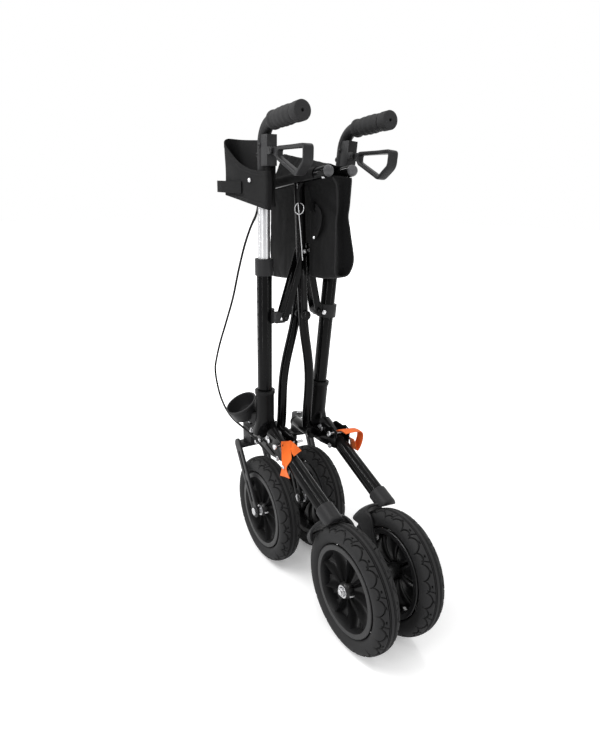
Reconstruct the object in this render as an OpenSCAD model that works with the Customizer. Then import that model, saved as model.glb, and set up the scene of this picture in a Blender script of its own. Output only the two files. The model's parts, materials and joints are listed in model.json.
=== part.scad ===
// All-terrain rollator, folded side to side and standing on its four wheels.
// X is the user's right, Y is forward, Z is up. The origin is on the floor, midway between the uprights.
// Side-frame shapes are drawn in their own frame: x outward from the upright's axis, y forward, z up.

/* [Stance] */
// Distance between the two uprights at floor level, folded
folded_track = 111.4; // [104:0.2:130]
// Outward lean of the folded right side frame, degrees
right_lean = 4.9; // [3:0.1:6]

/* [Wheels] */
// Outer diameter of all four tyres
tyre_d = 254; // [230:1:262]
// Width of a tyre
tyre_w = 50; // [44:1:54]
// Diameter over the rim's edge
rim_d = 182; // [170:1:190]
// Number of spokes in a rim
spoke_count = 9; // [6:1:12]
// Thickness of a spoke
spoke_t = 6; // [4:0.5:8]
// Diameter of a wheel's hub
wheel_hub_d = 46; // [36:1:56]
// Width of a wheel's hub
wheel_hub_w = 44; // [36:1:46]
// Diameter of the wheel axles
axle_d = 12; // [8:0.5:14]
// Distance from the uprights back to the rear axle
rear_axle_y = 354; // [345:1:380]
// Distance from the uprights back to the front axle
front_axle_y = 14; // [8:1:18]
// How far the rear wheels sit inboard of the uprights
rear_wheel_inset = 8; // [4:0.5:10]

/* [Uprights and handles] */
// Diameter of the outer upright tube
upright_d = 33; // [30:0.5:34]
// Wall of the outer upright tube
upright_wall = 2.6; // [1.5:0.1:3]
// Height of the outer upright's top
upright_top = 706; // [690:1:720]
// Diameter of the telescopic tube and the handle tube
handle_tube_d = 25.4; // [24:0.1:26]
// Wall of the telescopic tube and the handle tube
handle_wall = 2; // [1.5:0.1:3]
// Length of telescopic tube hidden inside the upright
inner_insert = 160; // [140:1:200]
// Height where the telescopic tube meets the handle tube
handle_joint_z = 850; // [840:1:870]
// Height where the handle tube starts to bend back
handle_bend_z = 948; // [938:1:958]
// Radius of the handle's bend, at the tube's middle
handle_bend_r = 42; // [36:1:48]
// Angle the handle tube turns through
handle_bend_angle = 86; // [80:1:90]
// Length of the hand grip
grip_len = 108; // [100:1:125]
// Diameter of the grip at its ends
grip_d = 36; // [33:0.5:40]
// Diameter of the grip at its waist
grip_waist_d = 32; // [30:0.5:35]
// Number of height holes in each upright
height_holes = 6; // [4:1:8]
// Spacing of the height holes
height_hole_pitch = 27.8; // [24:0.2:30]
// Diameter of a height hole
height_hole_d = 6; // [5:0.5:8]

/* [Cross brace] */
// Diameter of the cross tubes
brace_d = 22; // [19:0.5:23]
// Height of the lower pivots
low_pivot_z = 318; // [312:1:324]
// How far the lower pivots sit inboard of the uprights
low_pivot_inset = 42; // [40:0.5:44]
// Sideways place of the crossing pivot, folded
centre_x = 26; // [24:0.5:28]
// Height of the crossing pivot, folded
centre_z = 600; // [590:1:610]
// Length of each arm above the crossing pivot
upper_arm = 286; // [280:1:292]
// Distance fore and aft between the two cross tubes
brace_spacing = 30; // [29:0.5:34]
// Fore-and-aft place of the rear cross tube
rear_brace_y = -28; // [-34:1:-24]
// Diameter of the pivot pins of the brace
brace_pin_d = 10; // [8:0.5:12]

/* [Seat rails and bag] */
// Diameter of the seat rails
rail_d = 22; // [19:0.5:24]
// Fore-and-aft place of the rails' rear ends
rail_rear_y = -138; // [-150:1:-130]
// Length of a seat rail
rail_len = 235; // [220:1:245]
// Slope of the rails, front end low, degrees
rail_slope = 7; // [4:0.5:9]
// Height of the bag's base at its rear
bag_base_z = 697; // [685:1:710]

/* [Stays] */
// Width of a stay bar
stay_w = 16; // [12:0.5:18]
// Thickness of a stay bar
stay_t = 3; // [2:0.25:3.5]
// Height of the stay clamps on the uprights
stay_z = 600; // [590:1:610]
// How far the stay pivots sit inboard of the uprights
stay_inset = 30; // [28:0.5:33]
// Distance from the crossing pivot up to the stays' upper ends
stay_arm = 140; // [130:1:150]

/* [Rear legs] */
// Diameter of the rear leg tubes
leg_d = 32; // [28:0.5:33]
// Wall of the rear leg tubes
leg_wall = 2.5; // [1.5:0.1:4]
// Distance from the uprights back to the leg pivot
leg_pivot_y = 60; // [58:1:64]
// Height of the leg pivot
leg_pivot_z = 328; // [324:1:332]
// Fall of the legs, degrees
leg_slope = 19.5; // [18:0.5:21]
// Length of a leg tube behind its pivot
leg_len = 226; // [218:1:228]

/* [Front casters] */
// Distance from the uprights forward to the swivel axis
swivel_y = 80; // [74:1:84]
// Diameter of the swivel housing
swivel_d = 36; // [32:0.5:40]
// Thickness of the fork's flat arms
caster_arm_t = 5; // [4:0.5:6]
// Width of the fork's flat arms
caster_arm_w = 30; // [26:0.5:32]

/* [Cup holder] */
// Diameter of the cup holder's mouth
cup_d = 78; // [70:1:82]
// Height of the cup holder
cup_h = 58; // [45:1:65]
// Wall of the cup holder
cup_wall = 3; // [2:0.25:4]

/* [Hidden] */
$fn = 64;

// Shared clearances and small fasteners
overrun = 1;
running_gap = 0.05;
body_gap = 0.5;
bolt_d = 6;
bolt_head_d = 11;
bolt_head_h = 4;

// Wheel sizes worked out from the tyre and the rim
tyre_r = tyre_d / 2;
rim_r = rim_d / 2;
tread_crown = 6;
groove_w = 3;
groove_depth = 3;
groove_offset = 8;
rim_lip = 5;
rim_wall = 4;
rim_inset = 8;
rim_half_w = tyre_w / 2 - rim_inset;
spoke_depth = 22;
spoke_sweep = 24;
wheel_web_t = 5;
wheel_web_r = 42;

// Upright, collar and hub
upright_bottom = 335;
collar_d = 40;
collar_h = 36;
hub_d = 42;
hub_top = 428;
hub_skirt_z = 350;
hub_base_z = 322;
hub_base_d = 58;
hub_lip_h = 8;
hub_lip_d = 46;
height_hole_low = 521;

// Leg channel: two side plates with a web under the hub
plate_t = 3;
channel_half = leg_d / 2 + body_gap;
plate_out = channel_half + plate_t;
web_t = 6;
channel_front_y = 42;
channel_rear_y = -112;
channel_floor_z = 300;

// Handle
spigot_len = 40;
grip_lip = 8;
grip_rib_d = 1.6;
grip_hole_d = 6;
grip_hole_depth = 12;
grip_start = 4;
bracket_w = 22;
bracket_h = 58;
bracket_top_z = 966;
bracket_front = 9;
bracket_rear = 36;
lever_pin_d = 5;
lever_pin_y = 46;
lever_pin_z = 936;
lever_boss_d = 14;
lever_neck_w = 11;
lever_w = 22;
lever_len = 130;
lever_drop = 50;
lever_t = 8;
lever_reach = 10;
lug_t = 4;

// Casters
swivel_gap = 1;
head_h = 46;
crown_t = 8;
stem_d = 14;
arm_clear = 6;
fork_half = tyre_w / 2 + arm_clear;
slot_w = 8;

// Rear fork
crown_gap = 6;
crown_wall = 6;
crown_start = 28;
crown_span = 47;
crown_shoulder = 15;
fork_arm_t = 9;
fork_arm_w = 38;
wing_h = 30;
outer_wing_h = 24;
socket_wall = 3.5;
socket_len = 12;
socket_reach = 22;
full_turn = 360;
axle_boss_d = 40;

// Cup holder's place on the hub
cup_below = 34;
cup_out = 6;

// Latch and pull tab
rod_d = 6;
rod_y = 104;
rod_outer = 28;
rod_inner = 40;
rod_head_d = 12;
rod_slot = 6;
slot_rim = 4;
tab_w = 24;
tab_t = 2.4;
tab_len = 62;

// Places of the brace, in the plane across the frame: [x, z]
half_track = folded_track / 2;
left_pivot = [low_pivot_inset - half_track, low_pivot_z];
right_pivot = [
    half_track - low_pivot_inset * cos(right_lean) + low_pivot_z * sin(right_lean),
    low_pivot_inset * sin(right_lean) + low_pivot_z * cos(right_lean)];
centre = [centre_x, centre_z];
front_brace_y = rear_brace_y + brace_spacing;
front_tilt = atan2(centre[0] - left_pivot[0], centre[1] - left_pivot[1]);
rear_tilt = atan2(centre[0] - right_pivot[0], centre[1] - right_pivot[1]);
front_top = centre + upper_arm * [sin(front_tilt), cos(front_tilt)];
rear_top = centre + upper_arm * [sin(rear_tilt), cos(rear_tilt)];
barrel_d = 26;
barrel_len = 66;
pivot_block_t = 8;
bow_x = 11;
brace_sides = 24;
brace_steps = 14;

// Stays: from the clamp pivots to the upper arms
stay_gap = brace_d / 2 + body_gap;
stay_boss_d = 18;
stay_pin_d = 6;
clamp_d = 44;
clamp_h = 30;
clamp_arm_w = 22;

// Bag: places across the frame, from its top to its foot
bag_rear_y = -135;
bag_front_y = 97;
bag_margin = 6;
bag_core_x = 12;
bag_core_z = 50;
bag_left_x = 34;
bag_right_x = 69;
bag_shoulder = 30;
bag_waist_x = 62;
bag_waist_z = 814;
bag_wide_x = 78;
bag_wide_z = 725;
bag_foot_x = 64;
bag_front_fall = 25;

// Seat cloth, folded up between the rails
sling_ridge_x = 38;
sling_rear_rise = 18;
sling_rise = 66;
sling_t = 3;
sling_rear_y = -100;
sling_front_y = 88;

// Side pouch on the left handle: a folded fabric band, open at its top
pouch_front_y = 166;
pouch_rear_y = -50;
pouch_inner_rear_y = -16;
pouch_sleeve_y = 22;
pouch_outer = 17;
pouch_inner = 17;
pouch_wall = 3;
pouch_low_z = 825;
pouch_high_z = 966;
pouch_rear_z = 898;
pouch_fold_low_z = 850;

// Brake cable: from the handle bracket down to the leg channel, in world places
cable_d = 5;
cable_sides = 8;
cable_route = [
    [-56, 16, 930], [-56, 16, 890], [-57, 19, 850], [-60, 26, 815], [-68, 40, 785], [-76, 55, 745], [-82, 75, 690],
    [-86, 100, 625], [-90, 135, 560], [-93, 170, 500], [-95, 193, 450], [-96, 198, 425], [-96, 190, 395],
    [-96, 168, 362], [-95, 135, 338], [-93, 100, 326], [-90, 65, 322], [-86, 30, 318], [-84, -5, 313],
    [-83, -40, 306], [-82, -75, 298]];

// Grey shades of the finishes
gloss_black = [0.05, 0.05, 0.055];
moulded_black = [0.11, 0.11, 0.115];
rubber_black = [0.13, 0.13, 0.135];
fabric_black = [0.08, 0.08, 0.085];
bare_metal = [0.8, 0.8, 0.82];
zinc = [0.72, 0.73, 0.76];
cap_grey = [0.33, 0.33, 0.37];
webbing_orange = [1, 0.42, 0.12];

// Puts a shape drawn in side-frame places where that side frame stands
module on_side(side) {
    if (side == "left")
        translate([-half_track, 0, 0]) mirror([1, 0, 0]) children();
    else
        translate([half_track, 0, 0]) rotate([0, right_lean, 0]) children();
}

// A round bar or hole along x, from x0 to x1
module bar_x(d, x0, x1) {
    translate([x0, 0, 0]) rotate([0, 90, 0]) cylinder(d = d, h = x1 - x0);
}

// A round bar or hole along y, from y0 to y1
module bar_y(d, y0, y1) {
    translate([0, y0, 0]) rotate([-90, 0, 0]) cylinder(d = d, h = y1 - y0);
}

// A flat shape drawn in [y, z], as thick as x0 to x1
module plate_x(x0, x1) {
    translate([x0, 0, 0]) rotate([90, 0, 90]) linear_extrude(x1 - x0) children();
}

// A flat shape drawn in [x, z], as thick as y0 to y1
module plate_y(y0, y1) {
    translate([0, y1, 0]) rotate([90, 0, 0]) linear_extrude(y1 - y0) children();
}

// A straight strip with round ends between two points
module strip(a, b, w) {
    run = b - a;
    for (p = [a, b]) translate(p) circle(d = w);
    flat_w = w - 4 * running_gap;
    translate(a) rotate(atan2(run[1], run[0])) translate([0, -flat_w / 2]) square([norm(run), flat_w]);
}

// Upright tube with its row of height holes
module upright(side) {
    color(gloss_black) on_side(side) difference() {
        translate([0, 0, upright_bottom]) cylinder(d = upright_d, h = upright_top - upright_bottom);
        translate([0, 0, upright_bottom - overrun])
            cylinder(d = upright_d - 2 * upright_wall, h = upright_top - upright_bottom + 2 * overrun);
        for (i = [0 : height_holes - 1])
            translate([0, 0, height_hole_low + i * height_hole_pitch])
                rotate([0, 0, -86]) bar_y(height_hole_d, 0, upright_d);
    }
}

// Clamp collar at the upright's top, which also guides the telescopic tube
module collar(side) {
    color(moulded_black) on_side(side) translate([0, 0, upright_top - collar_h / 2]) difference() {
        cylinder(d = collar_d, h = collar_h);
        translate([0, 0, -overrun]) cylinder(d = upright_d + 2 * running_gap, h = collar_h / 2 + overrun);
        cylinder(d = handle_tube_d + 2 * running_gap, h = collar_h + overrun);
    }
}

// Moulded socket at the upright's foot, flared onto the leg channel
module hub(side) {
    color(moulded_black) on_side(side) difference() {
        union() {
            translate([0, 0, hub_base_z]) cylinder(d1 = hub_base_d, d2 = hub_d, h = hub_skirt_z - hub_base_z + web_t);
            translate([0, 0, hub_skirt_z]) cylinder(d = hub_d, h = hub_top - hub_skirt_z);
            translate([0, 0, hub_top - hub_lip_h]) cylinder(d = hub_lip_d, h = hub_lip_h);
        }
        translate([0, 0, upright_bottom]) cylinder(d = upright_d + 2 * running_gap, h = hub_top - upright_bottom + overrun);
        plate_x(-hub_base_d, hub_base_d) translate([-leg_pivot_y, leg_pivot_z])
            circle(r = leg_d / 2 + leg_d + body_gap);
    }
}

// Outline of a side plate of the leg channel
function channel_outline() = let (
        drop = tan(leg_slope),
        rise = (leg_d / 2 + rod_d + 2 * body_gap + rod_slot + slot_rim) / cos(leg_slope),
        rear_z = leg_pivot_z + (channel_rear_y + leg_pivot_y) * drop)
    [[channel_front_y, channel_floor_z], [channel_front_y, hub_base_z], [-hub_base_d / 2, hub_base_z],
     [-leg_pivot_y, leg_pivot_z + leg_d / 2], [-rod_y + leg_d / 2, rear_z + leg_d / 2 + rise / 2],
     [-rod_y + rod_d, rear_z + rise + rod_d / 2], [channel_rear_y - rod_d, rear_z + rise - rod_d / 2],
     [channel_rear_y - rod_d, rear_z - leg_d / 4], [-leg_pivot_y, channel_floor_z - web_t], [-hub_base_d / 2, channel_floor_z - web_t]];

// Two side plates and the web that joins them under the hub
module leg_channel(side) {
    color(gloss_black) on_side(side) {
        difference() {
            union() {
                for (x = [-plate_out, channel_half]) plate_x(x, x + plate_t) polygon(channel_outline());
                translate([-channel_half, -hub_base_d / 4, hub_base_z - web_t])
                    cube([2 * channel_half, channel_front_y + hub_base_d / 4, web_t]);
                translate([-channel_half, channel_front_y - web_t, channel_floor_z])
                    cube([2 * channel_half, web_t, hub_base_z - channel_floor_z]);
            }
            translate([0, -leg_pivot_y, leg_pivot_z]) bar_x(bolt_d, -plate_out - overrun, plate_out + overrun);
            plate_x(-plate_out - overrun, plate_out + overrun) rotate(leg_slope) translate(latch_along())
                strip([0, 0], [0, rod_slot], rod_d + 2 * body_gap);
        }
        translate([0, rear_brace_y + brace_spacing / 2, low_pivot_z]) {
            for (y = [-barrel_len / 2 - pivot_block_t - body_gap, barrel_len / 2 + body_gap])
                plate_y(y, y + pivot_block_t) union() {
                    translate([-low_pivot_inset, 0]) circle(d = barrel_d);
                    translate([-low_pivot_inset, -barrel_d / 2])
                        square([low_pivot_inset - channel_half, barrel_d / 2 + hub_base_z - low_pivot_z]);
                }
            translate([-low_pivot_inset, 0, 0])
                bar_y(brace_pin_d, -barrel_len / 2 - body_gap - overrun, barrel_len / 2 + body_gap + overrun);
        }
    }
}

// The latch rod's place along and above the leg, before the leg's slope is applied
function latch_along() = let (
        turn = leg_slope,
        foot = [-rod_y, leg_pivot_z + (leg_pivot_y - rod_y) * tan(leg_slope) + (leg_d / 2 + rod_d / 2 + body_gap) / cos(leg_slope)])
    [foot[0] * cos(turn) + foot[1] * sin(turn), foot[1] * cos(turn) - foot[0] * sin(turn)];

// The latch rod's place in the side frame: [y, z]
function latch_place() = let (p = latch_along())
    [p[0] * cos(leg_slope) - p[1] * sin(leg_slope), p[0] * sin(leg_slope) + p[1] * cos(leg_slope)];

// Split clamp round the upright, with two lugs for the stay's pivot
module stay_clamp(side) {
    brace_y = side == "left" ? rear_brace_y : front_brace_y;
    inner = stay_gap - body_gap;
    color(moulded_black) on_side(side) translate([0, 0, stay_z]) {
        difference() {
            union() {
                translate([0, 0, -clamp_h / 2]) cylinder(d = clamp_d, h = clamp_h);
                plate_y(brace_y - inner, brace_y + inner) union() {
                    translate([-stay_inset, 0]) circle(d = stay_boss_d);
                    translate([-stay_inset, -clamp_arm_w / 2]) square([stay_inset - upright_d / 4, clamp_arm_w]);
                }
            }
            translate([0, 0, -clamp_h]) cylinder(d = upright_d + 2 * running_gap, h = 2 * clamp_h);
            if (side == "left")
                translate([-upright_d / 4, -clamp_d, -clamp_h]) cube([clamp_d, 2 * clamp_d, 2 * clamp_h]);
        }
        translate([-stay_inset, brace_y, 0])
            bar_y(stay_pin_d, -stay_gap - stay_t - overrun, stay_gap + stay_t + overrun);
    }
}

// Swivel housing in front of the channel
module caster_head(side) {
    color(moulded_black) on_side(side) {
        low = tyre_d + arm_clear + crown_t + swivel_gap;
        difference() {
            union() {
                translate([0, swivel_y, low]) cylinder(d = swivel_d, h = head_h);
                translate([-swivel_d / 2, channel_front_y + running_gap, low + head_h / 4])
                    cube([swivel_d, swivel_y - channel_front_y, head_h * 3 / 4]);
            }
            translate([0, swivel_y, low - overrun]) cylinder(d = stem_d + 2 * running_gap, h = head_h - web_t + overrun);
        }
    }
}

// Zinc bolt heads and nuts on the frame
module frame_bolts(side) {
    color(zinc) on_side(side) {
        for (p = [[-leg_pivot_y, leg_pivot_z], [-hub_base_d / 4, (channel_floor_z + hub_base_z) / 2],
                  [channel_front_y - bolt_d - overrun, (channel_floor_z + hub_base_z) / 2]])
            translate([0, p[0], p[1]]) for (flip = [0, 1]) mirror([flip, 0, 0])
                bar_x(bolt_head_d, plate_out, plate_out + bolt_head_h);
        translate([0, swivel_y, tyre_d + arm_clear + crown_t + swivel_gap + head_h])
            cylinder(d = bolt_head_d, h = bolt_head_h);
    }
}

// Bare telescopic tube
module inner_tube(side) {
    color(bare_metal) on_side(side) translate([0, 0, upright_top - inner_insert]) difference() {
        cylinder(d = handle_tube_d, h = handle_joint_z - upright_top + inner_insert);
        translate([0, 0, -overrun]) cylinder(d = handle_tube_d - 2 * handle_wall,
            h = handle_joint_z - upright_top + inner_insert + 2 * overrun);
    }
}

// Turns a shape at the bend's end so that its z runs along the grip
module at_grip() {
    translate([0, -handle_bend_r, handle_bend_z]) rotate([handle_bend_angle, 0, 0])
        translate([0, handle_bend_r, 0]) children();
}

// Bent handle tube with a spigot into the telescopic tube
module handle_tube(side) {
    color(gloss_black) on_side(side) difference() {
        union() {
            translate([0, 0, handle_joint_z]) cylinder(d = handle_tube_d, h = handle_bend_z - handle_joint_z);
            translate([0, 0, handle_joint_z - spigot_len])
                cylinder(d = handle_tube_d - 2 * handle_wall - 2 * running_gap, h = spigot_len + overrun);
            translate([0, -handle_bend_r, handle_bend_z]) rotate([90, 0, 90])
                rotate_extrude(angle = handle_bend_angle) translate([handle_bend_r, 0]) circle(d = handle_tube_d);
            at_grip() translate([0, 0, -overrun]) cylinder(d = handle_tube_d - 4 * running_gap, h = grip_len + overrun);
        }
        translate([0, 0, handle_joint_z - spigot_len - overrun])
            cylinder(d = handle_tube_d - 4 * handle_wall, h = handle_bend_z - handle_joint_z + spigot_len + overrun);
    }
}

// Rubber grip with flared ends, ribs and an end hole
module grip(side) {
    color(rubber_black) on_side(side) at_grip() difference() {
        translate([0, 0, grip_start]) rotate_extrude() polygon([
            [0, 0], [grip_d / 2, 0], [grip_d / 2, grip_lip], [grip_waist_d / 2, 2 * grip_lip],
            [grip_waist_d / 2, grip_len - 3 * grip_lip], [grip_d / 2, grip_len - grip_lip],
            [grip_d / 2, grip_len], [grip_d / 2 - grip_rib_d, grip_len + grip_rib_d], [0, grip_len + grip_rib_d]]);
        translate([0, 0, -overrun]) cylinder(d = handle_tube_d + 2 * running_gap, h = grip_len + overrun);
        cylinder(d = grip_hole_d, h = grip_len + grip_hole_depth);
    }
}

// Brake body under the bend, with two lugs and the lever's pin
module brake_bracket(side) {
    color(moulded_black) on_side(side) {
        difference() {
            translate([-bracket_w / 2, -bracket_rear, bracket_top_z - bracket_h])
                cube([bracket_w, bracket_rear - bracket_front, bracket_h]);
            translate([0, 0, bracket_top_z - bracket_h - overrun])
                cylinder(d = handle_tube_d + 2 * running_gap, h = handle_bend_z - bracket_top_z + bracket_h + overrun);
            translate([0, -handle_bend_r, handle_bend_z]) rotate([90, 0, 90]) rotate_extrude(angle = handle_bend_angle)
                translate([handle_bend_r, 0]) circle(d = handle_tube_d + 2 * running_gap);
            at_grip() translate([0, 0, -grip_lip]) cylinder(d = grip_d + 2 * body_gap, h = grip_len);
        }
        for (x = [-bracket_w / 2, bracket_w / 2 - lug_t])
            plate_x(x, x + lug_t)
                strip([-bracket_rear, lever_pin_z], [-lever_pin_y, lever_pin_z], lever_boss_d);
        translate([0, -lever_pin_y, lever_pin_z]) bar_x(lever_pin_d, -bracket_w / 2 - overrun, bracket_w / 2 + overrun);
    }
}

// Corners of the lever's loop in [y, z], rearwards from its pin
function lever_outline(inset) = [
    [-lever_pin_y - lever_boss_d / 2 - lever_reach - inset, lever_pin_z + lever_boss_d / 2 - inset],
    [-lever_pin_y - lever_len + inset, lever_pin_z + lever_boss_d / 2 - inset],
    [-lever_pin_y - lever_len + inset, lever_pin_z - lever_drop / 2],
    [-lever_pin_y - lever_len * 3 / 4, lever_pin_z - lever_drop + inset],
    [-lever_pin_y - lever_boss_d / 2 - lever_reach - inset, lever_pin_z - lever_drop / 3 + inset]];

// Closed loop brake lever
module brake_lever(side) {
    color(moulded_black) on_side(side) difference() {
        union() {
            plate_x(-lever_w / 2, lever_w / 2) difference() {
                polygon(lever_outline(0));
                polygon(lever_outline(lever_t));
            }
            plate_x(-lever_neck_w / 2, lever_neck_w / 2)
                strip([-lever_pin_y, lever_pin_z],
                      [-lever_pin_y - lever_boss_d / 2 - lever_reach, lever_pin_z - lever_t / 2], lever_boss_d);
        }
        translate([0, -lever_pin_y, lever_pin_z]) bar_x(lever_pin_d + 2 * running_gap, -lever_w, lever_w);
        plate_x(-lever_w, lever_w)
            translate([-lever_pin_y - lever_boss_d * 3 / 2 - lever_reach - lever_t, lever_pin_z - lever_boss_d * 2 / 3])
                square([lever_boss_d, lever_boss_d]);
    }
}

// Turns a shape so that its x runs down the leg from the leg's pivot
module along_leg() {
    translate([0, -leg_pivot_y, leg_pivot_z]) rotate([leg_slope, 0, 0]) rotate([90, 0, 0]) children();
}

// Rear leg tube
module leg_tube(side) {
    nose = leg_d / 2 + web_t;
    color(gloss_black) on_side(side) difference() {
        along_leg() translate([0, 0, -nose]) cylinder(d = leg_d, h = leg_len + nose);
        along_leg() translate([0, 0, leg_d / 2]) cylinder(d = leg_d - 2 * leg_wall, h = leg_len);
        translate([0, -leg_pivot_y, leg_pivot_z]) bar_x(bolt_d + 2 * running_gap, -leg_d, leg_d);
    }
}

// Shape turned round the rear axle, drawn in [distance from the axle, x]
module round_rear_axle(start, span) {
    translate([0, -rear_axle_y, tyre_r]) rotate([90, 0, 90]) rotate([0, 0, start])
        rotate_extrude(angle = span) children();
}

// Section of the fork's arch over the tyre, in [distance from the axle, x]
function arch_section(crown_r, inner_x, outer_x) = let (
        top = crown_r + crown_wall,
        left = inner_x - crown_wall,
        right = outer_x + crown_wall)
    [[crown_r - wing_h, left], [top - crown_shoulder, left], [top, left + crown_shoulder],
     [top, right - crown_shoulder], [top - crown_shoulder, right], [crown_r - outer_wing_h, right],
     [crown_r - outer_wing_h, outer_x], [crown_r - crown_shoulder, outer_x], [crown_r, outer_x - crown_shoulder],
     [crown_r, inner_x + crown_shoulder], [crown_r - crown_shoulder, inner_x], [crown_r - wing_h, inner_x]];

// Moulded rear fork: leg socket, arch over the tyre, and one arm on the inner side
module rear_fork(side) {
    mid = -rear_wheel_inset;
    inner_x = mid - tyre_w / 2 - arm_clear;
    outer_x = mid + tyre_w / 2 + arm_clear;
    crown_r = tyre_r + crown_gap;
    color(moulded_black) on_side(side) difference() {
        union() {
            round_rear_axle(crown_start, crown_span) polygon(arch_section(crown_r, inner_x, outer_x));
            plate_x(inner_x - fork_arm_t, inner_x) translate([-rear_axle_y, tyre_r])
                rotate(crown_start + crown_span / 2) translate([0, -fork_arm_w / 2])
                    square([crown_r - crown_shoulder - socket_wall, fork_arm_w]);
            translate([0, -rear_axle_y, tyre_r]) bar_x(axle_boss_d, inner_x - fork_arm_t, mid - wheel_hub_w / 2 - body_gap);
            difference() {
                along_leg() translate([0, 0, leg_len - socket_len])
                    cylinder(d = leg_d + 2 * socket_wall, h = socket_len + socket_reach);
                round_rear_axle(0, full_turn) translate([0, outer_x - 2 * fork_half])
                    square([crown_r + crown_wall / 2, 2 * fork_half]);
            }
        }
        along_leg() cylinder(d = leg_d + 2 * running_gap, h = leg_len + running_gap);
        translate([0, -rear_axle_y, tyre_r]) bar_x(axle_d + 2 * running_gap, inner_x - 2 * fork_arm_t, 0);
    }
}

// Rear axle bolt, held by the fork's arm
module rear_axle(side) {
    mid = -rear_wheel_inset;
    inner_x = mid - tyre_w / 2 - arm_clear - fork_arm_t;
    hub_half = wheel_hub_w / 2 + body_gap;
    color(zinc) on_side(side) translate([0, -rear_axle_y, tyre_r]) {
        bar_x(axle_d, inner_x - bolt_head_h, mid + hub_half + bolt_head_h);
        bar_x(axle_d + bolt_d, mid + hub_half, mid + hub_half + bolt_head_h);
        bar_x(axle_d + bolt_d, inner_x - bolt_head_h, inner_x);
    }
}

// Pneumatic tyre, turned round x at the origin
module tyre_shape() {
    half = tyre_w / 2;
    bead = rim_r - rim_lip;
    shoulder = tyre_r - tread_crown;
    rotate([0, 90, 0]) rotate_extrude() difference() {
        union() {
            intersection() {
                translate([(tyre_r + bead) / 2, 0]) scale([1, tyre_w / (tyre_r - bead)]) circle(d = tyre_r - bead);
                translate([bead, -half]) square([shoulder - bead + tread_crown, tyre_w]);
            }
            translate([bead, -rim_half_w + running_gap]) square([rim_lip + rim_wall, 2 * (rim_half_w - running_gap)]);
        }
        translate([0, -half]) square([bead, tyre_w]);
        for (y = [-groove_offset, groove_offset])
            translate([tyre_r - groove_depth, y - groove_w / 2]) square([groove_depth + overrun, groove_w]);
    }
}

// Moulded rim with swept spokes, turned round x at the origin
module rim_shape() {
    seat = rim_r - rim_lip;
    rotate([0, 90, 0]) difference() {
        union() {
            rotate_extrude() union() {
                translate([seat - rim_wall, -rim_half_w - rim_wall]) square([rim_wall - running_gap, 2 * (rim_half_w + rim_wall)]);
                for (y = [-rim_half_w - rim_wall, rim_half_w])
                    translate([seat - rim_wall, y]) square([rim_wall + rim_lip, rim_wall]);
                translate([axle_d / 2 + overrun, -wheel_web_t / 2]) square([wheel_web_r - axle_d / 2, wheel_web_t]);
            }
            translate([0, 0, -wheel_hub_w / 2]) cylinder(d = wheel_hub_d, h = wheel_hub_w);
            for (i = [0 : spoke_count - 1]) rotate([0, 0, i * 360 / spoke_count])
                translate([wheel_hub_d / 4, -spoke_t / 2, -spoke_depth / 2]) rotate([0, 0, spoke_sweep / 2])
                    cube([seat - wheel_hub_d / 4 - rim_wall / 3, spoke_t, spoke_depth]);
        }
        translate([0, 0, -wheel_hub_w]) cylinder(d = axle_d + 2 * running_gap, h = 2 * wheel_hub_w);
    }
}

module rear_tyre(side) {
    color(rubber_black) on_side(side) translate([-rear_wheel_inset, -rear_axle_y, tyre_r]) tyre_shape();
}

module rear_rim(side) {
    color(moulded_black) on_side(side) translate([-rear_wheel_inset, -rear_axle_y, tyre_r]) rim_shape();
}

module front_tyre(side) {
    color(rubber_black) on_side(side) translate([0, -front_axle_y, tyre_r]) tyre_shape();
}

module front_rim(side) {
    color(moulded_black) on_side(side) translate([0, -front_axle_y, tyre_r]) rim_shape();
}

// Caster fork: crown, stem and two slotted trailing arms
module caster_fork(side) {
    crown_z = tyre_d + arm_clear;
    top = [swivel_y, crown_z + crown_t / 2];
    axle = [-front_axle_y, tyre_r];
    way = axle - top;
    color(moulded_black) on_side(side) {
        translate([-fork_half - caster_arm_t, swivel_y - caster_arm_w / 2, crown_z])
            cube([2 * (fork_half + caster_arm_t), caster_arm_w, crown_t]);
        translate([0, swivel_y, crown_z]) cylinder(d = stem_d, h = crown_t + swivel_gap + head_h - web_t - body_gap);
        for (x = [-fork_half - caster_arm_t, fork_half])
            plate_x(x, x + caster_arm_t) difference() {
                strip(top, axle, caster_arm_w);
                for (span_shares = [[0.12, 0.42], [0.56, 0.84]])
                    strip(top + way * span_shares[0], top + way * span_shares[1], slot_w);
                translate(axle) circle(d = axle_d + 2 * running_gap);
            }
    }
}

// Front axle bolt through the caster fork
module caster_axle(side) {
    reach = fork_half + caster_arm_t;
    color(zinc) on_side(side) translate([0, -front_axle_y, tyre_r]) {
        bar_x(axle_d, -reach - bolt_head_h, reach + bolt_head_h);
        for (flip = [0, 1]) mirror([flip, 0, 0]) {
            bar_x(axle_d + bolt_d, reach, reach + bolt_head_h);
            bar_x(axle_d + bolt_d, wheel_hub_w / 2 + body_gap, fork_half);
        }
    }
}

// Latch rod across the channel, lying on the leg tube
module latch_rod(side) {
    place = latch_place();
    outward = side == "left" ? 1 : -1;
    color(zinc) on_side(side) translate([0, place[0], place[1]]) scale([outward, 1, 1]) {
        bar_x(rod_d, -rod_inner, rod_outer);
        bar_x(rod_head_d, rod_outer, rod_outer + bolt_head_h);
    }
}

// Orange webbing pull on the latch rod
module pull_tab(side) {
    place = latch_place();
    x0 = plate_out + body_gap;
    color(webbing_orange) on_side(side) difference() {
        plate_x(x0, x0 + tab_t)
            strip([place[0], place[1]], [place[0] - tab_w / 2, place[1] - tab_len], tab_w);
        translate([0, place[0], place[1]]) bar_x(rod_d + 2 * running_gap, x0 - overrun, x0 + tab_t + overrun);
    }
}

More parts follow.
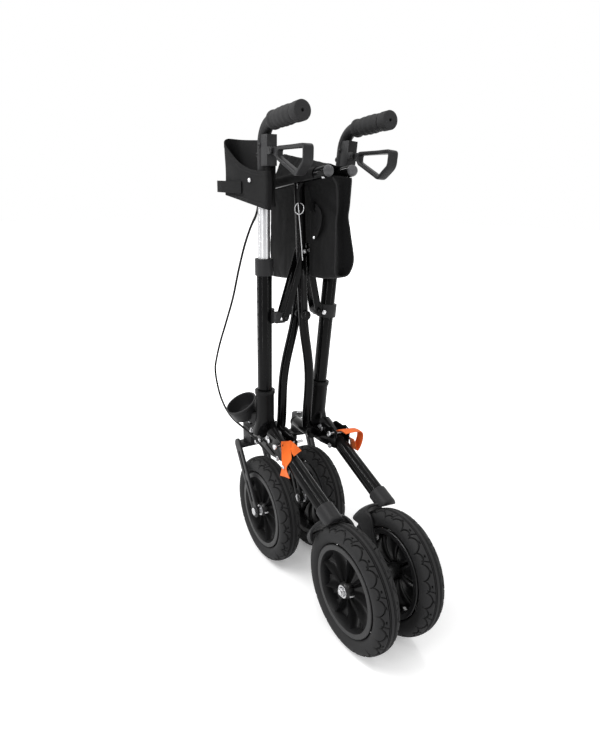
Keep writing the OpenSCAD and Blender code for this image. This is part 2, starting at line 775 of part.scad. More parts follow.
// Pair of flat bars from a clamp pivot to the upper arm of a cross tube
module stay(side) {
    brace_y = side == "left" ? rear_brace_y : front_brace_y;
    tilt = side == "left" ? rear_tilt : front_tilt;
    high = centre + stay_arm * [sin(tilt), cos(tilt)];
    low = side == "left"
        ? [stay_inset - half_track, stay_z]
        : [half_track - stay_inset * cos(right_lean) + stay_z * sin(right_lean),
           stay_inset * sin(right_lean) + stay_z * cos(right_lean)];
    color(gloss_black) for (y = [brace_y - stay_gap - stay_t, brace_y + stay_gap])
        plate_y(y, y + stay_t) difference() {
            strip(low, high, stay_w);
            translate(low) circle(d = stay_pin_d + 2 * running_gap);
        }
    color(zinc) for (y = [brace_y - stay_gap - stay_t - bolt_head_h / 4, brace_y + stay_gap + stay_t])
        translate([high[0], 0, high[1]]) bar_y(bolt_head_d, y, y + bolt_head_h / 4);
}

// Way of a cross tube: an S-curve from its lower pivot to the crossing, then straight to its top
function brace_way(pivot, top, y, bow) = concat(
    [for (i = [0 : brace_steps]) let (u = i / brace_steps, p = pivot + (centre - pivot) * u)
        [p[0] + bow * pow(sin(180 * u), 2), y, p[1]]],
    [[top[0], y, top[1]]]);

// A cross tube with its pivot barrel; its bores are cut by the caller
module cross_tube(pivot, top, y, bow) {
    mid_y = rear_brace_y + brace_spacing / 2;
    swept_cord(brace_way(pivot, top, y, bow), brace_d, brace_sides);
    translate([pivot[0], mid_y, pivot[1]]) bar_y(barrel_d, -barrel_len / 2, barrel_len / 2);
}

module front_cross_tube() {
    mid_y = rear_brace_y + brace_spacing / 2;
    color(gloss_black) difference() {
        cross_tube(left_pivot, front_top, front_brace_y, -bow_x);
        translate([left_pivot[0], mid_y, left_pivot[1]])
            bar_y(brace_pin_d + 2 * running_gap, -barrel_len / 2 - overrun, barrel_len / 2 + overrun);
        translate([centre[0], front_brace_y, centre[1]])
            bar_y(brace_pin_d + 2 * running_gap, -brace_d, brace_d);
        rail_bar("right", running_gap);
    }
}

module rear_cross_tube() {
    mid_y = rear_brace_y + brace_spacing / 2;
    color(gloss_black) difference() {
        cross_tube(right_pivot, rear_top, rear_brace_y, bow_x);
        translate([right_pivot[0], mid_y, right_pivot[1]])
            bar_y(brace_pin_d + 2 * running_gap, -barrel_len / 2 - overrun, barrel_len / 2 + overrun);
        translate([centre[0], rear_brace_y, centre[1]])
            bar_y(brace_pin_d + 2 * running_gap, -brace_d, brace_d);
        rail_bar("left", running_gap);
    }
}

// Pivot bolt where the cross tubes cross
module centre_bolt() {
    rear = rear_brace_y - brace_d / 2 - body_gap;
    front = front_brace_y + brace_d / 2 + body_gap;
    color(zinc) translate([centre[0], 0, centre[1]]) {
        bar_y(brace_pin_d, rear - bolt_head_h, front + bolt_head_h);
        bar_y(brace_d, rear - bolt_head_h, rear);
        bar_y(brace_d, front, front + bolt_head_h);
        bar_y(brace_d, rear_brace_y + brace_d / 2 + body_gap, front_brace_y - brace_d / 2 - body_gap);
    }
}

// A seat rail's round bar, grown all round by a gap
module rail_bar(side, gap) {
    top = side == "left" ? rear_top : front_top;
    y = side == "left" ? rear_brace_y : front_brace_y;
    translate([top[0], y, top[1]]) rotate([-90 - rail_slope, 0, 0])
        translate([0, 0, rail_rear_y - y]) cylinder(d = rail_d + 2 * gap, h = rail_len);
}

module seat_rail(side) {
    color(gloss_black) rail_bar(side, 0);
}

// A rail cap's half ball, grown all round by a gap
module rail_cap_shape(side, gap) {
    top = side == "left" ? rear_top : front_top;
    y = side == "left" ? rear_brace_y : front_brace_y;
    translate([top[0], y, top[1]]) rotate([-90 - rail_slope, 0, 0])
        translate([0, 0, rail_rear_y - y]) difference() {
            sphere(d = rail_d + 2 * gap);
            translate([-rail_d, -rail_d, 0]) cube(2 * rail_d);
        }
}

// Domed plastic cap on a rail's rear end
module rail_cap(side) {
    color(cap_grey) rail_cap_shape(side, 0);
}

// Fabric bag hung on the seat rails, as a closed solid clear of the cross tubes
module seat_bag() {
    rail_z = min(rear_top[1], front_top[1]);
    clear_y = brace_d / 2 + stay_t + bolt_head_h + bag_margin;
    color(fabric_black) difference() {
        union() {
            for (span = [[bag_rear_y, rear_brace_y - clear_y, 0], [front_brace_y + clear_y, bag_front_y, bag_front_fall]]) {
                span_z = rail_z - ((span[0] + span[1] - rear_brace_y - front_brace_y) / 2) * tan(rail_slope);
                fall = [0, -span[2]];
                plate_y(span[0], span[1]) polygon([
                    [rear_top[0], span_z], [front_top[0], span_z], [bag_right_x, span_z - bag_shoulder],
                    [bag_waist_x, bag_waist_z] + fall, [bag_wide_x, bag_wide_z] + fall, [bag_foot_x, bag_base_z] + fall,
                    [bag_left_x, bag_base_z] + fall, [bag_left_x, span_z - bag_shoulder]]);
            }
            translate([bag_left_x - bag_core_x / 4, rear_brace_y - clear_y - overrun, rail_z - rail_d - bag_core_z])
                cube([bag_core_x, brace_spacing + 2 * (clear_y + overrun), bag_core_z]);
        }
        for (side = ["left", "right"]) {
            rail_bar(side, body_gap);
            rail_cap_shape(side, body_gap);
        }
    }
}

// Outline across the folded seat cloth, standing on both rails, drawn in by an inset
function sling_section(rise, inset) = [
    [rear_top[0] - 2 * sling_t + inset, 0], [sling_ridge_x - sling_t, rise - inset],
    [sling_ridge_x + sling_t, rise - inset], [front_top[0] + 2 * sling_t - inset, 0]];

// Tent of the seat cloth, low at the rear and high in front
module sling_tent(inset, past) {
    hull() {
        plate_y(sling_rear_y - rear_brace_y - past, sling_rear_y - rear_brace_y + sling_t)
            polygon(sling_section(sling_rear_rise, inset));
        plate_y(sling_front_y - rear_brace_y - sling_t, sling_front_y - rear_brace_y + past)
            polygon(sling_section(sling_rise, inset));
    }
}

// Seat cloth folded up between the rails
module seat_sling() {
    color(fabric_black) difference() {
        translate([0, rear_brace_y, rear_top[1]]) rotate([-rail_slope, 0, 0]) difference() {
            sling_tent(0, 0);
            translate([0, 0, -overrun]) sling_tent(2 * sling_t, overrun);
        }
        for (side = ["left", "right"]) rail_bar(side, body_gap);
    }
}

// Round cup on the front of the left hub
module cup_holder() {
    low_z = hub_top - cup_h - cup_below;
    x = hub_d / 2 + cup_out;
    y = hub_lip_d / 2 + cup_d / 2;
    color(moulded_black) on_side("left") difference() {
        union() {
            translate([x, y, low_z]) cylinder(d = cup_d, h = cup_h);
            translate([0, 0, hub_skirt_z + 2 * web_t]) linear_extrude(cup_h / 2) strip([0, 0], [x, y], hub_d / 2);
        }
        translate([x, y, low_z + cup_wall]) cylinder(d = cup_d - 2 * cup_wall, h = cup_h);
        translate([0, 0, low_z - overrun]) cylinder(d = hub_d + 2 * running_gap, h = cup_h + 2 * overrun);
    }
}

// Outline of the pouch's outer panel in [y, z]
function pouch_outline() = [
    [pouch_rear_y, pouch_low_z], [pouch_rear_y, pouch_rear_z], [pouch_front_y / 3, pouch_rear_z + pouch_wall],
    [pouch_front_y * 3 / 4, (pouch_rear_z + pouch_high_z) / 2], [pouch_front_y, pouch_high_z],
    [pouch_front_y, pouch_fold_low_z]];

// Folded fabric band on the left handle: an outer panel, a fold in front and an inner panel
module side_pouch() {
    color(fabric_black) on_side("left") {
        plate_x(pouch_outer, pouch_outer + pouch_wall) polygon(pouch_outline());
        plate_x(-pouch_inner - pouch_wall, -pouch_inner) polygon([
            [pouch_inner_rear_y, pouch_low_z], [pouch_inner_rear_y, pouch_high_z - pouch_wall],
            [pouch_front_y, pouch_high_z], [pouch_front_y, pouch_fold_low_z]]);
        plate_x(-pouch_inner - pouch_wall, pouch_outer + pouch_wall)
            translate([pouch_front_y, pouch_fold_low_z]) square([pouch_wall, pouch_high_z - pouch_fold_low_z]);
        difference() {
            plate_x(-pouch_inner, pouch_outer)
                translate([-pouch_sleeve_y, pouch_low_z]) square([pouch_sleeve_y, handle_joint_z - pouch_low_z]);
            translate([0, 0, pouch_low_z - overrun])
                cylinder(d = handle_tube_d + 2 * running_gap, h = pouch_high_z - pouch_low_z);
        }
    }
}

// Ring of points round a cord at one place of its way
function cord_ring(p, way, r, sides) = let (
        w = way / norm(way),
        a = cross(w, [1, 0, 0]) / norm(cross(w, [1, 0, 0])),
        b = cross(w, a))
    [for (k = [0 : sides - 1]) p + r * (cos(k * 360 / sides) * a + sin(k * 360 / sides) * b)];

// One closed tube swept along a list of points
module swept_cord(points, d, sides) {
    last = len(points) - 1;
    rings = [for (i = [0 : last])
        cord_ring(points[i], points[min(i + 1, last)] - points[max(i - 1, 0)], d / 2, sides)];
    polyhedron(
        points = [for (ring = rings) each ring],
        faces = concat(
            [[for (k = [0 : sides - 1]) k]],
            [for (i = [0 : last - 1], k = [0 : sides - 1])
                [i * sides + k, (i + 1) * sides + k, (i + 1) * sides + (k + 1) % sides, i * sides + (k + 1) % sides]],
            [[for (k = [sides - 1 : -1 : 0]) last * sides + k]]));
}

module brake_cable() {
    color(rubber_black) swept_cord(cable_route, cable_d, cable_sides);
}

// One side's pieces, each under its own name
module side_pieces(side) {
    upright(side);
    collar(side);
    hub(side);
    leg_channel(side);
    stay_clamp(side);
    caster_head(side);
    frame_bolts(side);
    inner_tube(side);
    handle_tube(side);
    grip(side);
    brake_bracket(side);
    brake_lever(side);
    leg_tube(side);
    rear_fork(side);
    rear_axle(side);
    rear_tyre(side);
    rear_rim(side);
    caster_fork(side);
    caster_axle(side);
    front_tyre(side);
    front_rim(side);
    latch_rod(side);
    pull_tab(side);
    stay(side);
    seat_rail(side);
    rail_cap(side);
}

side_pieces("left");
side_pieces("right");
front_cross_tube();
rear_cross_tube();
centre_bolt();
seat_bag();
seat_sling();
cup_holder();
side_pouch();
brake_cable();
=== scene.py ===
"""All-terrain rollator, folded side to side: finishes, wheels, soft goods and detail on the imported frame."""
import json
import math

import bmesh
import bpy
from mathutils import Matrix, Vector, noise


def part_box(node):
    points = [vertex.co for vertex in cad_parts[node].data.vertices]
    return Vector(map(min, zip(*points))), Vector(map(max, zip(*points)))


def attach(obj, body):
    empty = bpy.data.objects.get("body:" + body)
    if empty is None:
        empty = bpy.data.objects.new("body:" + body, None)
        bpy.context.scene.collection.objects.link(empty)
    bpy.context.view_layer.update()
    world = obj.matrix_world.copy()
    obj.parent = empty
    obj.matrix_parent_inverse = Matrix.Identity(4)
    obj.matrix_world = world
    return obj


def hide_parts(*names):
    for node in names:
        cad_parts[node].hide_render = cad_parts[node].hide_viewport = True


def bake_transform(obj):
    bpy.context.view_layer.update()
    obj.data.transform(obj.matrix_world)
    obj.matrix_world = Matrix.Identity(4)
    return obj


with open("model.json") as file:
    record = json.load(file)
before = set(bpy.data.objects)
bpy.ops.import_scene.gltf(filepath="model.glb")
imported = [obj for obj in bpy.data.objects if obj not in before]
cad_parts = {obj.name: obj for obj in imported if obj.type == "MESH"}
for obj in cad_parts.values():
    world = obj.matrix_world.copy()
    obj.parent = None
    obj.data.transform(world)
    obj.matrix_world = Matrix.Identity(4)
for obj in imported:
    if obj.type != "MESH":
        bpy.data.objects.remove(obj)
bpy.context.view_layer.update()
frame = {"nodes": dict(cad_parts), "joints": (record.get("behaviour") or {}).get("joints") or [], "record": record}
NODES = frame["nodes"]
JOINTS = {joint["name"]: joint for joint in frame["joints"]}
BODY_OF = {node: body for body, nodes in frame["record"]["behaviour"]["bodies"].items() for node in nodes}
SIDES = ("left", "right")
MM = 0.001
MERGE = 1e-6

# The two side frames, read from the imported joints: origin on the floor under each upright
HALF_TRACK = -sum(corner.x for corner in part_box("left_upright")) / 2
RIGHT_UP = Vector(JOINTS["right_handle_height"]["axis"])


def side_matrix(side):
    """From a side frame (x outward, y forward, z up) to the part's frame."""
    if side == "left":
        out, up = Vector((-1, 0, 0)), Vector((0, 0, 1))
    else:
        up = RIGHT_UP
        out = Vector((up.z, 0, -up.x))
    turn = Matrix((out, Vector((0, 1, 0)), up)).transposed().to_4x4()
    return Matrix.Translation((-HALF_TRACK if side == "left" else HALF_TRACK, 0, 0)) @ turn


def side_box(node):
    """Box of a left-hand node in its side frame, as low and high corners."""
    low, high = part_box("left_" + node)
    return Vector((-high.x - HALF_TRACK, low.y, low.z)), Vector((-low.x - HALF_TRACK, high.y, high.z))


def side_place(joint):
    """A left-hand joint's place in its side frame."""
    x, y, z = JOINTS["left_" + joint]["pos_m"]
    return Vector((-x - HALF_TRACK, y, z))


# Number and point helpers
def clamped(value):
    """A value kept between 0 and 1."""
    return max(0.0, min(1.0, value))


def hump(share):
    """0 at both ends of a share that runs from 0 to 1, and 1 in the middle."""
    return math.sin(math.pi * share)


def evenly(start, end, count):
    """Values from start to end in equal steps, with both ends."""
    return [start + (end - start) * i / count for i in range(count + 1)]


def metres(points):
    """Points in millimetres as vectors in metres."""
    return [Vector(point) * MM for point in points]


def arc(centre, radius, start, end, count):
    """Points along an arc in a plane, as (first, second) pairs; angles in degrees."""
    turns = [math.radians(turn) for turn in evenly(start, end, count)]
    return [(centre[0] + radius * math.cos(a), centre[1] + radius * math.sin(a)) for a in turns]


def mirrored(half, middle=()):
    """A profile that is the same on both sides: half of it, its middle, and the half again."""
    return [(-x, out) for x, out in half] + list(middle) + [(x, out) for x, out in reversed(half)]


def smooth_curve(points, count):
    """A smooth line through points, as count steps (Catmull-Rom)."""
    knots = [Vector(point) for point in points]
    knots = [2 * knots[0] - knots[1]] + knots + [2 * knots[-1] - knots[-2]]
    spans = len(knots) - 3
    line = []
    for i in range(count + 1):
        place = min(spans - 1e-9, spans * i / count)
        k = int(place)
        t = place - k
        a, b, c, d = knots[k:k + 4]
        bend, twist = 2 * a - 5 * b + 4 * c - d, 3 * b - a - 3 * c + d
        line.append(0.5 * (2 * b + (c - a) * t + bend * t * t + twist * t ** 3))
    return line


def run_lengths(points):
    """How far along a line of points each one lies, in metres."""
    far = [0.0]
    for back, here in zip(points, points[1:]):
        far.append(far[-1] + (here - back).length)
    return far


# Shader node helpers
def add_node(tree, kind, inputs=None, **settings):
    """A node with its settings and plain input values."""
    made = tree.nodes.new(kind)
    for name, value in settings.items():
        setattr(made, name, value)
    for name, value in (inputs or {}).items():
        made.inputs[name].default_value = value
    return made


def fed_node(tree, kind, source, inputs=None, **settings):
    """A node whose first input is linked to a socket."""
    made = add_node(tree, kind, inputs, **settings)
    tree.links.new(source, made.inputs[0])
    return made


def noise_node(tree, source, **inputs):
    """A noise texture on a socket's coordinates."""
    return fed_node(tree, "ShaderNodeTexNoise", source, inputs)


def range_node(tree, source, low=0.0, high=1.0, to_low=0.0, to_high=1.0):
    """A value taken from one range to another and held at its ends."""
    inputs = {"From Min": low, "From Max": high, "To Min": to_low, "To Max": to_high}
    return fed_node(tree, "ShaderNodeMapRange", source, inputs).outputs["Result"]


def math_node(tree, operation, first, second=0.0):
    """A Math node; each operand is a socket or a number."""
    made = add_node(tree, "ShaderNodeMath", operation=operation)
    for slot, operand in zip(made.inputs, (first, second)):
        if isinstance(operand, (int, float)):
            slot.default_value = operand
        else:
            tree.links.new(operand, slot)
    return made.outputs[0]


def new_group(name, values, results):
    """A shader node group that takes coordinates and named values, and gives named values."""
    tree = bpy.data.node_groups.new(name, "ShaderNodeTree")
    tree.interface.new_socket("Vector", in_out="INPUT", socket_type="NodeSocketVector")
    for label, default in values.items():
        made = tree.interface.new_socket(label, in_out="INPUT", socket_type="NodeSocketFloat")
        made.default_value = default
    for label in results:
        tree.interface.new_socket(label, in_out="OUTPUT", socket_type="NodeSocketFloat")
    return tree, tree.nodes.new("NodeGroupInput").outputs, tree.nodes.new("NodeGroupOutput").inputs


def make_grain_group():
    """Fine moulded or painted grain: a height, and a slow cloud for colour and gloss."""
    values = {"Grain per metre": 1500.0, "Cloud per metre": 20.0}
    tree, entry, leave = new_group("surface_grain", values, ("Height", "Cloud"))
    rows = (("Grain per metre", 3.0, 0.6, "Height"), ("Cloud per metre", 4.0, 0.55, "Cloud"))
    for rate, detail, rough, result in rows:
        made = noise_node(tree, entry["Vector"], Detail=detail, Roughness=rough)
        tree.links.new(entry[rate], made.inputs["Scale"])
        tree.links.new(made.outputs["Fac"], leave[result])
    return tree


def make_wear_and_hollow_shade_group():
    """Rubbed edges where the surface turns out sharply, broken up by noise, and a mask of painted shade in hollows
    where it turns in.
    """
    tree, entry, leave = new_group("edge_wear_and_hollow_shade", {"Amount": 0.5}, ("Mask", "Painted hollow shade"))
    turn = add_node(tree, "ShaderNodeNewGeometry").outputs["Pointiness"]
    # Painted shade: a mask that rises where the surface turns in, used to darken hollows
    tree.links.new(range_node(tree, turn, 0.49, 0.43), leave["Painted hollow shade"])
    patch = noise_node(tree, entry["Vector"], Scale=140.0, Detail=5.0)
    broken = math_node(tree, "MULTIPLY", range_node(tree, turn, 0.52, 0.62), patch.outputs["Fac"])
    tree.links.new(math_node(tree, "MULTIPLY", broken, entry["Amount"]), leave["Mask"])
    return tree


def make_dust_group():
    """A thin settling of dust on what faces up."""
    tree, entry, leave = new_group("settled_dust", {"Amount": 0.1}, ("Mask",))
    normal = add_node(tree, "ShaderNodeNewGeometry").outputs["Normal"]
    up = fed_node(tree, "ShaderNodeSeparateXYZ", normal).outputs["Z"]
    patch = noise_node(tree, entry["Vector"], Scale=45.0, Detail=6.0, Roughness=0.7)
    lying = math_node(tree, "MULTIPLY", range_node(tree, up, 0.1), patch.outputs["Fac"])
    tree.links.new(math_node(tree, "MULTIPLY", lying, entry["Amount"]), leave["Mask"])
    return tree


def make_weave_group():
    """Plain weave on a UV map in metres: thread height, and a painted highlight on each thread's crown."""
    tree, entry, leave = new_group("plain_weave", {"Threads per metre": 900.0}, ("Height", "Painted crown highlight"))
    split = fed_node(tree, "ShaderNodeSeparateXYZ", entry["Vector"])
    rate = math_node(tree, "MULTIPLY", entry["Threads per metre"], math.pi)
    turns = [math_node(tree, "MULTIPLY", split.outputs[axis], rate) for axis in "XY"]
    crossings = []
    for wave in ("SINE", "COSINE"):
        warp, weft = (math_node(tree, wave, turn) for turn in turns)
        crossings.append(math_node(tree, "ABSOLUTE", math_node(tree, "MULTIPLY", warp, weft)))
    crown, ridge = crossings
    tree.links.new(math_node(tree, "ADD", crown, math_node(tree, "MULTIPLY", ridge, 0.6)), leave["Height"])
    # Painted highlight: this mask lightens the top of each thread
    tree.links.new(crown, leave["Painted crown highlight"])
    return tree


GRAIN = make_grain_group()
WEAR_AND_HOLLOW_SHADE = make_wear_and_hollow_shade_group()
DUST = make_dust_group()
WEAVE = make_weave_group()


class Finish:
    """One material being built: its tree, shader and coordinates."""

    # Where a Mix node keeps its two colours and its result
    FIRST_COLOUR, SECOND_COLOUR, MIXED_COLOUR = 6, 7, 2

    def __init__(self, name, coordinates="Object", **plain):
        self.material = bpy.data.materials.new(name)
        self.material.use_nodes = True
        self.tree = self.material.node_tree
        self.shader = self.tree.nodes["Principled BSDF"]
        self.coordinates = add_node(self.tree, "ShaderNodeTexCoord").outputs[coordinates]
        for label, value in plain.items():
            self.shader.inputs[label.replace("_", " ")].default_value = value

    def group(self, tree, **values):
        """Places a node group on the finish's coordinates."""
        made = add_node(self.tree, "ShaderNodeGroup", node_tree=tree)
        self.tree.links.new(self.coordinates, made.inputs["Vector"])
        for label, value in values.items():
            made.inputs[label.replace("_", " ")].default_value = value
        return made.outputs

    def mix(self, mask, first, second):
        """A colour that goes from first to second with a mask; each is a socket or a colour."""
        made = add_node(self.tree, "ShaderNodeMix", data_type="RGBA")
        self.tree.links.new(mask, made.inputs["Factor"])
        for place, colour in ((self.FIRST_COLOUR, first), (self.SECOND_COLOUR, second)):
            if isinstance(colour, tuple):
                made.inputs[place].default_value = (*colour, 1.0)
            else:
                self.tree.links.new(colour, made.inputs[place])
        return made.outputs[self.MIXED_COLOUR]

    def span(self, value, low, high):
        """A 0 to 1 value stretched to a range."""
        return range_node(self.tree, value, to_low=low, to_high=high)

    def feed(self, label, value):
        """Links a socket to one of the shader's inputs."""
        self.tree.links.new(value, self.shader.inputs[label])

    def bump(self, height, strength, distance):
        """Bumps the surface by a height, in metres."""
        made = add_node(self.tree, "ShaderNodeBump", {"Strength": strength, "Distance": distance})
        self.tree.links.new(height, made.inputs["Height"])
        self.feed("Normal", made.outputs["Normal"])


def grained(name, shine, rates, tones, wear, dust, rough, relief, painted_hollow_shade=None):
    """Paint, plastic or rubber: clouded tone, rubbed edges, dust, fine grain and perhaps painted shade in hollows.

    tones and rough run from low to high over the cloud, and wear and dust are each an amount and a colour.
    """
    finish = Finish(name, Specular_IOR_Level=shine)
    grain = finish.group(GRAIN, Grain_per_metre=rates[0], Cloud_per_metre=rates[1])
    edges = finish.group(WEAR_AND_HOLLOW_SHADE, Amount=wear[0])
    colour = finish.mix(edges["Mask"], finish.mix(grain["Cloud"], *tones), wear[1])
    colour = finish.mix(finish.group(DUST, Amount=dust[0])["Mask"], colour, dust[1])
    # Painted shade: the hollows where the surface turns in are darkened towards a given dark colour
    if painted_hollow_shade:
        colour = finish.mix(edges["Painted hollow shade"], colour, painted_hollow_shade)
    finish.feed("Base Color", colour)
    finish.feed("Roughness", finish.span(grain["Cloud"], *rough))
    finish.bump(grain["Height"], *relief)
    return finish.material


def gloss_black_paint():
    """Gloss black powder coat: faint orange peel, rubbed edges and a little dust."""
    return grained(
        "gloss_black_paint", 0.08, (420.0, 9.0), ((0.0008, 0.0008, 0.0009), (0.0018, 0.0018, 0.002)),
        wear=(0.4, (0.04, 0.04, 0.041)), dust=(0.05, (0.1, 0.1, 0.096)), rough=(0.09, 0.2),
        relief=(0.12, 0.0004))


def moulded_nylon(name, dark, light, grain_rate, rough, shine=0.13):
    """Textured moulded plastic: spark-eroded grain, paler rubbed edges and dust."""
    return grained(
        name, shine, (grain_rate, 16.0), ((dark, dark, dark * 1.04), (light, light, light * 1.05)),
        wear=(0.6, (0.04, 0.04, 0.042)), dust=(0.08, (0.1, 0.098, 0.095)), rough=(rough - 0.07, rough + 0.1),
        relief=(0.3, 0.0005))


def rubber(name, dark, light, grain_rate, dust):
    """Matte rubber with a bloom of dust and painted shade in its hollows."""
    # The last colour is painted shade that darkens the hollows
    return grained(
        name, 0.1, (grain_rate, 24.0), ((dark, dark, dark * 1.02), (light, light, light * 1.03)),
        wear=(0.6, (0.035, 0.035, 0.036)), dust=(dust, (0.07, 0.069, 0.066)), rough=(0.55, 0.8),
        relief=(0.35, 0.0005), painted_hollow_shade=(0.0025, 0.0025, 0.0025))


def bare_metal(name, dark, light, rough, streak):
    """Bare metal with fine lines along the tube."""
    finish = Finish(name, Metallic=1.0)
    stretch = fed_node(finish.tree, "ShaderNodeMapping", finish.coordinates, {"Scale": streak})
    lines = noise_node(finish.tree, stretch.outputs["Vector"], Scale=600.0, Detail=4.0).outputs["Fac"]
    cloud = finish.group(GRAIN, Grain_per_metre=900.0, Cloud_per_metre=30.0)["Cloud"]
    finish.feed("Base Color", finish.mix(cloud, (dark, dark, dark * 1.02), (light, light, light * 1.02)))
    finish.feed("Roughness", finish.span(lines, rough - 0.08, rough + 0.12))
    finish.bump(lines, 0.15, 0.0002)
    return finish.material


def woven(name, dark, light, thread_rate, sheen, rough=0.8):
    """Woven cloth or webbing on the piece's own UV map, in metres, with a painted highlight on each thread's
    crown.
    """
    finish = Finish(name, coordinates="UV", Specular_IOR_Level=0.08, Sheen_Weight=sheen, Sheen_Roughness=0.45)
    weave = finish.group(WEAVE, Threads_per_metre=thread_rate)
    cloud = finish.group(GRAIN, Grain_per_metre=700.0, Cloud_per_metre=18.0)
    # Painted highlight: each thread's crown goes from the dark colour to the light one
    thread = finish.mix(weave["Painted crown highlight"], dark, light)
    shade = tuple(0.72 * part for part in dark)
    finish.feed("Base Color", finish.mix(finish.span(cloud["Cloud"], 0.0, 0.5), thread, shade))
    finish.feed("Roughness", finish.span(weave["Painted crown highlight"], rough + 0.1, rough - 0.1))
    finish.bump(weave["Height"], 0.45, 0.0003)
    return finish.material


MATERIALS = {
    "gloss_black": gloss_black_paint(),
    "moulded_black": moulded_nylon("moulded_black_nylon", 0.011, 0.02, 1500.0, 0.42),
    "rim_plastic": moulded_nylon("rim_black_plastic", 0.004, 0.0075, 900.0, 0.3, 0.22),
    "hub_plastic": moulded_nylon("hub_black_nylon", 0.003, 0.006, 1500.0, 0.36, 0.09),
    "cap_grey": moulded_nylon("grey_cap_plastic", 0.05, 0.075, 1800.0, 0.35, 0.3),
    "grip_rubber": rubber("grip_rubber", 0.02, 0.032, 1300.0, 0.15),
    "tyre_rubber": rubber("tyre_rubber", 0.017, 0.027, 1100.0, 0.2),
    "cable_black": rubber("cable_sleeve", 0.008, 0.013, 2200.0, 0.1),
    "bare_metal": bare_metal("anodised_tube", 0.42, 0.52, 0.36, (1.0, 1.0, 0.04)),
    "zinc": bare_metal("bright_zinc", 0.4, 0.58, 0.26, (1.0, 1.0, 1.0)),
    "fabric_black": woven("black_polyester", (0.004, 0.004, 0.0042), (0.0105, 0.0105, 0.011), 1250.0, 0.04),
    "webbing_orange": woven("orange_webbing", (0.78, 0.13, 0.02), (1.0, 0.22, 0.04), 800.0, 0.15),
    "webbing_black": woven("black_webbing", (0.003, 0.003, 0.0032), (0.008, 0.008, 0.0084), 700.0, 0.03),
    "thread": rubber("black_thread", 0.012, 0.02, 2600.0, 0.0),
}


# Mesh helpers
def face_out(bm):
    """Turns all faces outwards."""
    bmesh.ops.recalc_face_normals(bm, faces=bm.faces)


def close_shape(bm):
    """Merges doubled points and turns all faces outwards."""
    bmesh.ops.remove_doubles(bm, verts=bm.verts, dist=MERGE)
    face_out(bm)


def added(bm, start):
    """The points that a mesh has gained since a set of its points was taken."""
    return [vert for vert in bm.verts if vert not in start]


def spun(bm, points, steps, axis=(1, 0, 0), closed=False):
    """Turns a line of (x, z) points right round an axis through the origin and returns the new points."""
    before = set(bm.verts)
    line = [bm.verts.new((x, 0, z)) for x, z in points]
    edges = [bm.edges.new(pair) for pair in zip(line, line[1:])]
    if closed:
        edges.append(bm.edges.new((line[-1], line[0])))
    bmesh.ops.spin(
        bm, geom=line + edges, cent=(0, 0, 0), axis=axis, angle=math.tau, steps=steps, use_merge=True)
    bmesh.ops.remove_doubles(bm, verts=added(bm, before), dist=MERGE)
    return added(bm, before)


def strip_faces(bm, first, second):
    """Faces between two lines of points."""
    for j in range(len(first) - 1):
        bm.faces.new((first[j], first[j + 1], second[j + 1], second[j]))


def block(bm, middle, size):
    """A square block."""
    bmesh.ops.create_cube(bm, size=1.0, matrix=Matrix.Translation(middle) @ Matrix.Diagonal((*size, 1)))


def aimed(bm, start, place, toward):
    """Turns what was added since start so that its z points along a direction, and puts it at a place."""
    turn = Vector((0, 0, 1)).rotation_difference(Vector(toward)).to_matrix().to_4x4()
    bmesh.ops.transform(bm, matrix=Matrix.Translation(place) @ turn, verts=added(bm, start))


def mesh_of(name, bm):
    """A mesh with a bmesh's shape; the bmesh is freed."""
    mesh = bpy.data.meshes.new(name)
    bm.to_mesh(mesh)
    bm.free()
    return mesh


def absorb(bm, other):
    """Adds another mesh to this one, unmerged, and frees it."""
    passing = mesh_of("passing", other)
    bm.from_mesh(passing)
    bpy.data.meshes.remove(passing)


def soften(bm, radius, angle=32.0, segments=2):
    """Rounds every edge sharper than an angle."""
    bm.normal_update()
    limit = math.radians(angle)
    sharp = [edge for edge in bm.edges if edge.is_manifold and edge.calc_face_angle(0.0) > limit]
    bmesh.ops.bevel(
        bm, geom=sharp, offset=radius, offset_type="OFFSET", segments=segments, profile=0.5,
        affect="EDGES", clamp_overlap=True, material=-1)


def add_object(name, data):
    """An object of the given data, in the scene."""
    made = bpy.data.objects.new(name, data)
    bpy.context.scene.collection.objects.link(made)
    return made


def finish_piece(name, bm, body, slot, side=None, nodes=(), finish=None, smooth=38.0):
    """Makes an object of a mesh, in place, with its finish; it rides on a body named by a string, and
    with anything else it only has its transform applied; it may replace CAD nodes."""
    if side:
        bm.transform(side_matrix(side))
        if side == "left":
            bmesh.ops.reverse_faces(bm, faces=bm.faces)
    mesh = mesh_of(name, bm)
    mesh.shade_smooth()
    mesh.set_sharp_from_angle(angle=math.radians(smooth))
    mesh.materials.append(MATERIALS[finish or slot])
    piece = add_object(name, mesh)
    if isinstance(body, str):
        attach(piece, body)
    else:
        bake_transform(piece)
    if nodes:
        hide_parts(*nodes)
    return piece


# CAD nodes shown as copies with rounded edges: slot, radius in metres, and a finish where it has its own
EASED = {
    "upright": ("gloss_black", 0.0004), "collar": ("moulded_black", 0.0012),
    "hub": ("rim_plastic", 0.0012, "hub_plastic"), "leg_channel": ("gloss_black", 0.0007),
    "stay_clamp": ("moulded_black", 0.0012), "caster_head": ("moulded_black", 0.0015),
    "inner_tube": ("bare_metal", 0.0004), "handle_tube": ("moulded_black", 0.0004),
    "brake_bracket": ("moulded_black", 0.0014), "leg_tube": ("gloss_black", 0.0006),
    "rear_axle": ("zinc", 0.0006), "caster_fork": ("moulded_black", 0.0012), "caster_axle": ("zinc", 0.0006),
    "latch_rod": ("zinc", 0.0006), "stay": ("gloss_black", 0.0006), "seat_rail": ("gloss_black", 0.0005),
    "rail_cap": ("cap_grey", 0.0005), "frame_bolts": ("zinc", 0.0008),
}
EASED_SINGLE = {
    "front_cross_tube": ("gloss_black", 0.0004), "rear_cross_tube": ("gloss_black", 0.0004),
    "centre_bolt": ("gloss_black", 0.0007),
}
CAD_MERGE = 2e-6
FLAT_ANGLE = math.radians(0.6)


